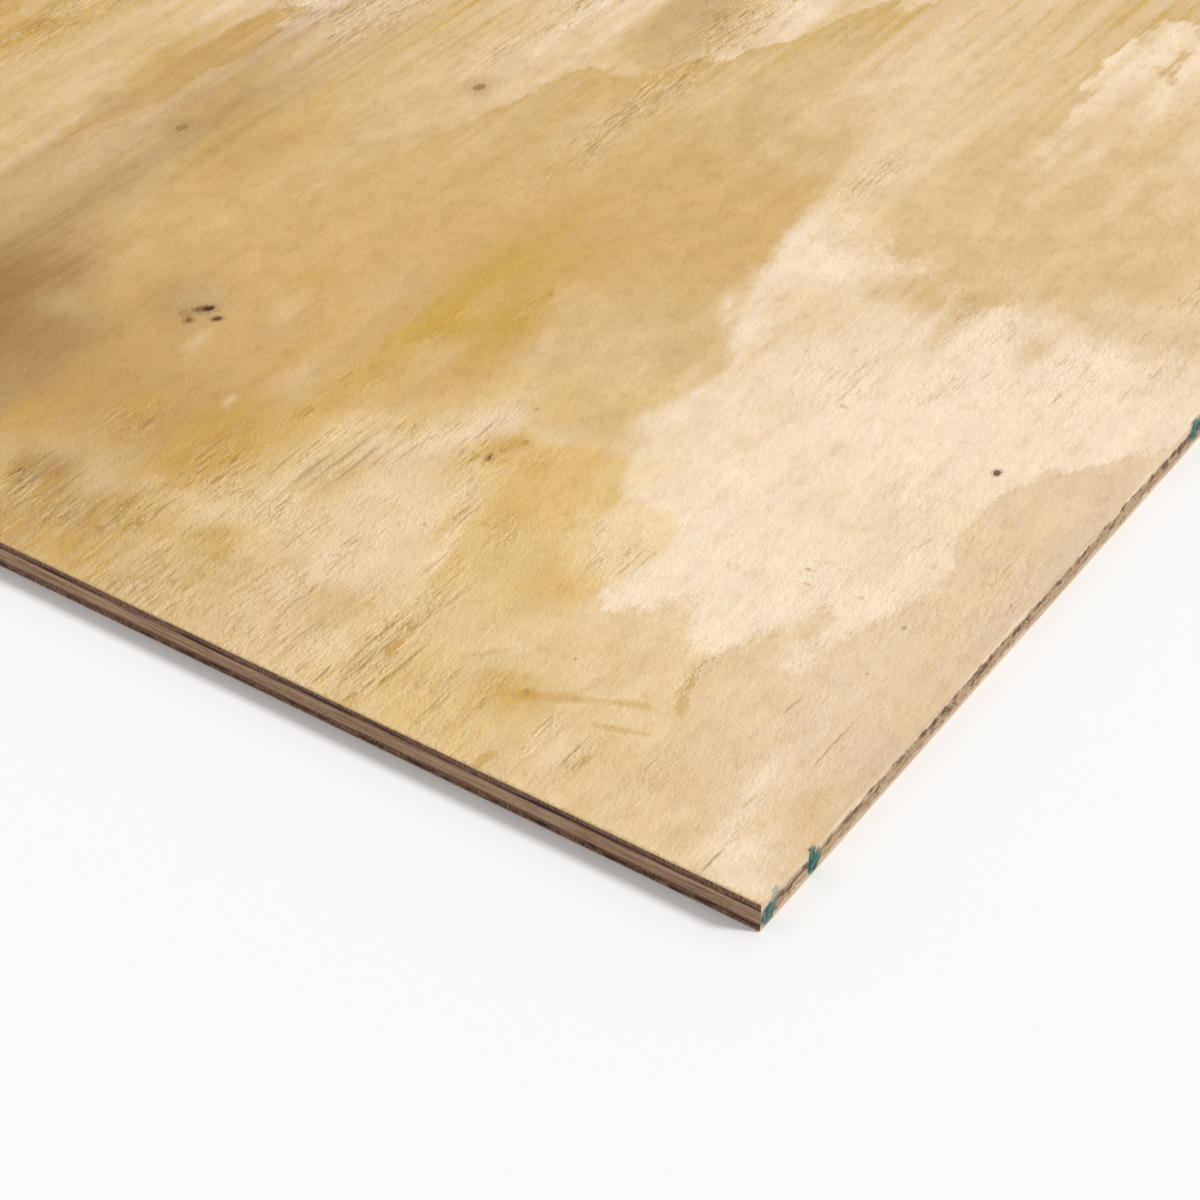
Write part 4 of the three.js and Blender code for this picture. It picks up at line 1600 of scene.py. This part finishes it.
class Growth:
    """Builds one Geometry Nodes tree with named inputs, ending in a plain mesh."""

    def __init__(self, name, **inputs):
        self.tree = bpy.data.node_groups.new(name, "GeometryNodeTree")
        self.sockets = {}
        self.socket("Mesh", "INPUT", "Geometry")
        for label, kind in inputs.items():
            self.sockets[label] = self.socket(label, "INPUT", kind).identifier
        self.socket("Mesh", "OUTPUT", "Geometry")
        self.given = self.node("NodeGroupInput").outputs

    def socket(self, label, side, kind):
        return self.tree.interface.new_socket(label, in_out=side, socket_type=f"NodeSocket{kind}")

    def node(self, kind, links=None, **settings):
        made = self.tree.nodes.new(kind)
        for key, value in settings.items():
            setattr(made, key, value)
        for socket, value in (links or {}).items():
            feed(self.tree, made.inputs[socket], value)
        return made

    def spread(self, low, high, seed):
        """A random vector between two corners."""
        links = {0: low, 1: high, 8: FIBRE_SEEDS[seed]}
        return self.node("FunctionNodeRandomValue", links, data_type="FLOAT_VECTOR").outputs[0]

    def sow(self, points, seed, lean):
        """Puts a pointed fibre on each point, and closes the tree with a plain mesh."""
        spindle = self.node("GeometryNodeMeshUVSphere", {"Segments": 4, "Rings": 2, "Radius": 1.0})
        turn = self.spread((-0.03, 0.0, lean[0]), (0.03, 0.0, lean[1]), "turn")
        turned = self.node("FunctionNodeEulerToRotation", {"Euler": turn})
        sown = self.node(
            "GeometryNodeInstanceOnPoints",
            {
                "Points": points,
                "Instance": spindle.outputs["Mesh"],
                "Rotation": turned.outputs[0],
                "Scale": self.spread(self.given["Smallest"], self.given["Largest"], seed),
            },
        )
        real = self.node("GeometryNodeRealizeInstances", {0: sown.outputs[0]})
        links = {"Geometry": real.outputs[0], "Material": self.given["Material"]}
        wood = self.node("GeometryNodeSetMaterial", links)
        self.node("NodeGroupOutput", {0: wood.outputs[0]})

    def grow(self, base, **values):
        """Runs the tree on a mesh and gives the mesh that comes out."""
        host = place("fibre_host", base)
        modifier = host.modifiers.new(self.tree.name, "NODES")
        modifier.node_group = self.tree
        for label, value in values.items():
            modifier[self.sockets[label]] = value
        evaluated = host.evaluated_get(bpy.context.evaluated_depsgraph_get())
        mesh = bpy.data.meshes.new_from_object(evaluated)
        host.modifiers.remove(modifier)
        bpy.data.objects.remove(host)
        return mesh


def torn_fibres():
    """Fibres scattered over a face, closest together where its grain is torn most."""
    growth = Growth(
        "torn_fibres", Density="Float", Smallest="Vector", Largest="Vector", Material="Material"
    )
    torn = growth.node("GeometryNodeInputNamedAttribute", {"Name": "torn"}, data_type="FLOAT")
    rough = growth.node("ShaderNodeMath", {0: torn.outputs["Attribute"], 1: 2.0}, operation="POWER")
    links = {0: rough.outputs[0], 1: growth.given["Density"]}
    density = growth.node("ShaderNodeMath", links, operation="MULTIPLY")
    links = {
        "Mesh": growth.given["Mesh"],
        "Density": density.outputs[0],
        "Seed": FIBRE_SEEDS["scatter"],
    }
    points = growth.node("GeometryNodeDistributePointsOnFaces", links)
    growth.sow(points.outputs["Points"], "torn", lean=(0.0, 0.16))
    return growth


def edge_fibres():
    """Fibres laid end to end along a straight edge."""
    growth = Growth(
        "edge_fibres",
        Count="Int",
        Start="Vector",
        End="Vector",
        Smallest="Vector",
        Largest="Vector",
        Material="Material",
    )
    given = growth.given
    links = {"Count": given["Count"], 2: given["Start"], 3: given["End"]}
    line = growth.node("GeometryNodeMeshLine", links, mode="END_POINTS")
    offset = growth.spread(tuple(-reach for reach in EDGE_SHAKE), EDGE_SHAKE, "shake")
    links = {"Geometry": line.outputs[0], "Offset": offset}
    shaken = growth.node("GeometryNodeSetPosition", links)
    growth.sow(shaken.outputs[0], "edge", lean=(-0.03, 0.03))
    return growth


# ---- Operators --------------------------------------------------------------------------

LAMP_WIDTH = math.radians(12)  # the wider the lamp, the softer the shadow
LAMP_TOWARDS = (-0.85, -0.4, -0.72)  # the way its light goes
FLOOR_HALF = 30.0  # metres
FLOOR_DROP = 0.0002  # metres: keeps the floor's plane off the sheet's underside
SWELL_WAVES = (60, 160)  # across and along the grain
RIPPLE_WAVES = (5.0, 2.0)  # the saw's longer marks: along an edge and down it
NICK_WAVES = (2.4, 0.9)  # and its shorter ones
SMALLEST_FIBRE = 0.4  # of the largest one's size
SPLINTER_STEPS = 14
SPLINTER_DROP = 0.25  # middle of a splinter, below the top of the sheet
SPLINTER_BEND = 1.6  # how far it strays from its line, from side to side


def settings(context):
    return context.scene.plywood_sizes, context.scene.plywood_colours


def fit_out(piece, node, materials):
    """Gives a finished veneer its materials and its place in the frame."""
    for material in materials:
        piece.data.materials.append(material)
    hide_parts(node)
    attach(piece, "root")


def finish_fibres(mesh, name, colours):
    """Keeps fibres inside the sheet's box, gives them the figure and makes them a piece."""
    places = np.empty(len(mesh.vertices) * 3)
    mesh.vertices.foreach_get("co", places)
    places = np.clip(places.reshape(-1, 3), CAD_BOX[0], CAD_BOX[1])
    mesh.vertices.foreach_set("co", places.ravel())
    inward = SHEET_WIDTH / 2 - places[:, 0] / MM
    along = places[:, 1] / MM + SHEET_LENGTH / 2
    store_figure(mesh, inward, along, colours, np.zeros(len(places)))
    # Paler fibres: partly their own wood, partly a painted highlight.
    store(mesh, "lift", np.full(len(places), FIBRE_PALENESS))
    mesh.name = name
    mesh.update()
    piece = place(name, mesh)
    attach(piece, "root")


def swelling(sizes, inward, along, seed):
    """The gentle waves in a broad face."""
    wave_u, wave_v = SWELL_WAVES
    return sizes.swell / MM * smooth_noise(inward / wave_u, along / wave_v, seed)


def saw_marks(sizes):
    """Shallow ripples that the saw left on every edge."""

    def work(inward, along, side_of, drop):
        run = np.where(side_of[:, 0] != 0, along, inward)
        run_wave, drop_wave = RIPPLE_WAVES
        ripple = smooth_noise(run / run_wave, np.full_like(run, drop / drop_wave), SAW_RIPPLE)
        run_wave, drop_wave = NICK_WAVES
        nick = smooth_noise(run / run_wave, np.full_like(run, drop / drop_wave + 40), SAW_NICK)
        return sizes.saw_depth / MM * (0.25 + 0.45 * ripple + 0.3 * nick)

    return work


class PLYWOOD_OT_face_veneer(bpy.types.Operator):
    """Builds the face veneer with its figure, torn grain and pale long edges"""

    bl_idname = "plywood.face_veneer"
    bl_label = "Face Veneer"

    def execute(self, context):
        sizes, colours = settings(context)

        def relief(inward, along):
            torn = torn_amount(inward, along)
            streak = smooth_noise(inward / 4.2, along / 26, TORN_STREAK)
            torn_depth = sizes.torn_depth / MM * torn * (0.2 + 0.8 * streak)
            return swelling(sizes, inward, along, FACE_WAVE) + torn_depth

        shell = VeneerShell("face_veneer_wood", VENEER_BOX[FACE], sizes, sizes.arris / MM, 1)
        piece, inward, along = shell.build(relief, saw_marks(sizes))
        torn = torn_amount(inward, along)
        torn[len(shell.across) * len(shell.along) :] = 0  # none below the broad face
        store_figure(piece.data, inward, along, colours, torn)
        share_out_face(piece.data, inward, along)
        low, high = shell.low[2], shell.high[2]
        materials = [
            face_material(colours, "face_wood"),
            long_grain_material(colours, "face_long_side", high, FACE_RIM),
            sawn_end_material(colours, "face_end_side", high, low, (34, 0.5, 0.40)),
            glued_material(colours),
            face_material(colours, "face_wood_marked", marked=True),
            face_material(colours, "face_wood_fading", drawn=True),
            face_material(colours, "face_wood_drawn", laid=False, drawn=True),
        ]
        fit_out(piece, FACE, materials)
        return {"FINISHED"}


class PLYWOOD_OT_torn_fibres(bpy.types.Operator):
    """Scatters raised fibres over the torn grain of the face"""

    bl_idname = "plywood.torn_fibres"
    bl_label = "Torn Fibres"

    def execute(self, context):
        sizes, colours = settings(context)
        face = bpy.data.objects["face_veneer_wood"].data
        longest = (sizes.fibre_width, sizes.fibre_length, sizes.fibre_height)
        mesh = torn_fibres().grow(
            face.copy(),
            Density=FIBRES_PER_METRE,
            Smallest=tuple(SMALLEST_FIBRE * value for value in longest),
            Largest=longest,
            Material=face.materials[FADING],
        )
        finish_fibres(mesh, "torn_fibres_wood", colours)
        return {"FINISHED"}


class PLYWOOD_OT_splinters(bpy.types.Operator):
    """Lays the longer splinters that stand out of the torn grain by the near corner"""

    bl_idname = "plywood.splinters"
    bl_label = "Splinters"

    def execute(self, context):
        sizes, colours = settings(context)
        part = np.linspace(0, 1, SPLINTER_STEPS + 1)
        thick = np.sin(math.pi * part) ** 0.6 + 0.02
        level = SHEET_TOP - SPLINTER_DROP
        points, faces = [], []
        for number, (place_u, start, end, half) in enumerate(SPLINTERS):
            along = start + part * (end - start)
            sway = smooth_noise(along / 7, np.full_like(along, 3.0 * number), SPLINTER_SWAY)
            inward = place_u + SPLINTER_BEND * (sway - 0.5)
            first = len(points)
            for u, v, much in zip(inward, along, thick):
                x, y = SHEET_WIDTH / 2 - u, v - SHEET_LENGTH / 2
                wide, tall = half * much, sizes.fibre_height / MM * much
                points += [(x - wide, y, level), (x, y, level - tall)]
                points += [(x + wide, y, level), (x, y, level + tall)]
            last = len(points) - 4
            faces.append([first, first + 1, first + 2, first + 3])
            for ring in range(first, last, 4):
                for side in range(4):
                    after = (side + 1) % 4
                    faces.append([ring + after, ring + side, ring + side + 4, ring + after + 4])
            faces.append([last + 3, last + 2, last + 1, last])
        mesh = bpy.data.meshes.new("splinters_wood")
        mesh.from_pydata((np.array(points) * MM).tolist(), [], faces)
        mesh.materials.append(bpy.data.objects["face_veneer_wood"].data.materials[LAID])
        finish_fibres(mesh, "splinters_wood", colours)
        return {"FINISHED"}


class PLYWOOD_OT_edge_fibres(bpy.types.Operator):
    """Lays feathered fibres along the long top edges"""

    bl_idname = "plywood.edge_fibres"
    bl_label = "Edge Fibres"

    def execute(self, context):
        sizes, colours = settings(context)
        face = bpy.data.objects["face_veneer_wood"].data
        inset, radius, end = EDGE_INSET * MM, EDGE_RADIUS * MM, EDGE_END * MM
        thin = SMALLEST_FIBRE * radius
        for name, side in (("right_edge_fibres_wood", 1), ("left_edge_fibres_wood", -1)):
            x, z = side * (CAD_BOX[1][0] - inset), CAD_BOX[1][2] - inset
            mesh = edge_fibres().grow(
                bpy.data.meshes.new("fibre_host"),
                Count=EDGE_FIBRES,
                Start=(x, CAD_BOX[0][1] + end, z),
                End=(x, CAD_BOX[1][1] - end, z),
                Smallest=(thin, 0.2 * sizes.fibre_length, thin),
                Largest=(radius, 1.1 * sizes.fibre_length, radius),
                Material=face.materials[FADING],
            )
            finish_fibres(mesh, name, colours)
        return {"FINISHED"}


class PLYWOOD_OT_core_veneers(bpy.types.Operator):
    """Builds the two core veneers, whose edges show between the face and the back"""

    bl_idname = "plywood.core_veneers"
    bl_label = "Core Veneers"

    def execute(self, context):
        sizes, colours = settings(context)
        for node in (UPPER_CORE, LOWER_CORE):
            shell = VeneerShell(f"{node}_wood", VENEER_BOX[node], sizes, 0.0, 0)
            piece, _, _ = shell.build(None, saw_marks(sizes))
            low, high = shell.low[2], shell.high[2]
            glued = glued_material(colours)
            rim_height = SHEET_TOP if node == UPPER_CORE else None
            long_side = core_side_material(colours, f"{node}_long_side", low, high, rim_height)
            end_side = core_end_material(colours, f"{node}_end_side", low, high)
            fit_out(piece, node, [glued, long_side, end_side, glued])
        return {"FINISHED"}


class PLYWOOD_OT_back_veneer(bpy.types.Operator):
    """Builds the back veneer, plainer and rougher than the face"""

    bl_idname = "plywood.back_veneer"
    bl_label = "Back Veneer"

    def execute(self, context):
        sizes, colours = settings(context)

        def relief(inward, along):
            return swelling(sizes, inward, along, BACK_WAVE)

        arris = sizes.back_arris / MM
        shell = VeneerShell("back_veneer_wood", VENEER_BOX[BACK], sizes, arris, -1)
        piece, _, _ = shell.build(relief, saw_marks(sizes))
        low, high = shell.low[2], shell.high[2]
        materials = [
            back_material(colours),
            # The back's long side is darker than the face's, partly dirt and partly painted shade
            # beside the floor: its pale rim starts 1 mm below the back and is dimmed.
            long_grain_material(colours, "back_long_side", low - 1.0, BACK_RIM_DIRT_AND_SHADE),
            sawn_end_material(colours, "back_end_side", low, high, (10, 1.0, 0.43)),
            glued_material(colours),
        ]
        fit_out(piece, BACK, materials)
        return {"FINISHED"}


class PLYWOOD_OT_stage(bpy.types.Operator):
    """Sets the white floor, the soft light and the camera"""

    bl_idname = "plywood.stage"
    bl_label = "Stage"

    def execute(self, context):
        studio = context.scene.plywood_studio
        self.lay_floor()
        self.hang_lamps(context, studio)
        self.place_camera(context, studio)
        context.scene.view_settings.view_transform = "Standard"
        return {"FINISHED"}

    def lay_floor(self):
        half = FLOOR_HALF
        corners = [(-half, -half), (half, -half), (half, half), (-half, half)]
        mesh = bpy.data.meshes.new("floor")
        mesh.from_pydata([(*corner, -FLOOR_DROP) for corner in corners], [], [(0, 1, 2, 3)])
        mesh.materials.append(floor_material())
        floor = place("floor", mesh)

    def hang_lamps(self, context, studio):
        world = bpy.data.worlds.new("even_light")
        context.scene.world = world
        world.use_nodes = True
        background = world.node_tree.nodes["Background"]
        background.inputs["Strength"].default_value = 1.0
        given = white_where_seen(world.node_tree, studio.sky)
        feed(world.node_tree, background.inputs["Color"], given)
        lamp = bpy.data.lights.new("key_lamp", "SUN")
        lamp.energy = studio.sun
        lamp.angle = LAMP_WIDTH
        towards = Vector(LAMP_TOWARDS)
        place("key_lamp", lamp).rotation_euler = towards.to_track_quat("-Z", "Y").to_euler()

    def place_camera(self, context, studio):
        """Sets the camera so that the near corner comes to its own place in the frame."""
        near_corner_pixel = (761.5, 905.5)
        frame_pixels = 1200.0
        film = 36.0
        turn, rise = studio.azimuth, studio.elevation
        back = Vector(
            (math.sin(turn) * math.cos(rise), -math.cos(turn) * math.cos(rise), math.sin(rise))
        )
        right = Vector((math.cos(turn), math.sin(turn), 0))
        up = back.cross(right)
        ray = (
            right * (near_corner_pixel[0] - frame_pixels / 2)
            + up * (frame_pixels / 2 - near_corner_pixel[1])
            - back * (studio.lens / film * frame_pixels)
        ).normalized()
        corner = Vector((CAD_BOX[1][0], CAD_BOX[0][1], CAD_BOX[1][2]))
        camera = bpy.data.cameras.new("camera")
        camera.lens = studio.lens
        camera.sensor_width = film
        camera.clip_start, camera.clip_end = 0.01, 200
        holder = place("camera", camera)
        axes = Matrix((right, up, back)).transposed().to_4x4()
        holder.matrix_world = Matrix.Translation(corner - ray * studio.distance) @ axes
        context.scene.camera = holder


class PLYWOOD_PT_panel(bpy.types.Panel):
    """Lists the steps that build the sheet"""

    bl_label = "Plywood Sheet"
    bl_idname = "PLYWOOD_PT_panel"
    bl_space_type = "VIEW_3D"
    bl_region_type = "UI"
    bl_category = "Plywood"

    def draw(self, context):
        for operator in STEPS:
            self.layout.operator(operator.bl_idname)
        for group in (getattr(context.scene, name) for name in GROUPS):
            for name in group.bl_rna.properties.keys():
                if name not in ("rna_type", "name"):
                    self.layout.prop(group, name)


STEPS = (
    PLYWOOD_OT_face_veneer,
    PLYWOOD_OT_torn_fibres,
    PLYWOOD_OT_splinters,
    PLYWOOD_OT_edge_fibres,
    PLYWOOD_OT_core_veneers,
    PLYWOOD_OT_back_veneer,
    PLYWOOD_OT_stage,
)
GROUPS = {
    "plywood_sizes": PlywoodSizes,
    "plywood_colours": PlywoodColours,
    "plywood_studio": PlywoodStudio,
}
CLASSES = (*GROUPS.values(), *STEPS, PLYWOOD_PT_panel)


def register():
    for cls in CLASSES:
        bpy.utils.register_class(cls)
    for name, group in GROUPS.items():
        setattr(bpy.types.Scene, name, PointerProperty(type=group))


def unregister():
    for name in GROUPS:
        delattr(bpy.types.Scene, name)
    for cls in reversed(CLASSES):
        bpy.utils.unregister_class(cls)


def main():
    register()
    bpy.ops.plywood.face_veneer()
    bpy.ops.plywood.torn_fibres()
    bpy.ops.plywood.splinters()
    bpy.ops.plywood.edge_fibres()
    bpy.ops.plywood.core_veneers()
    bpy.ops.plywood.back_veneer()
    bpy.ops.plywood.stage()


if __name__ == "__main__":
    main()
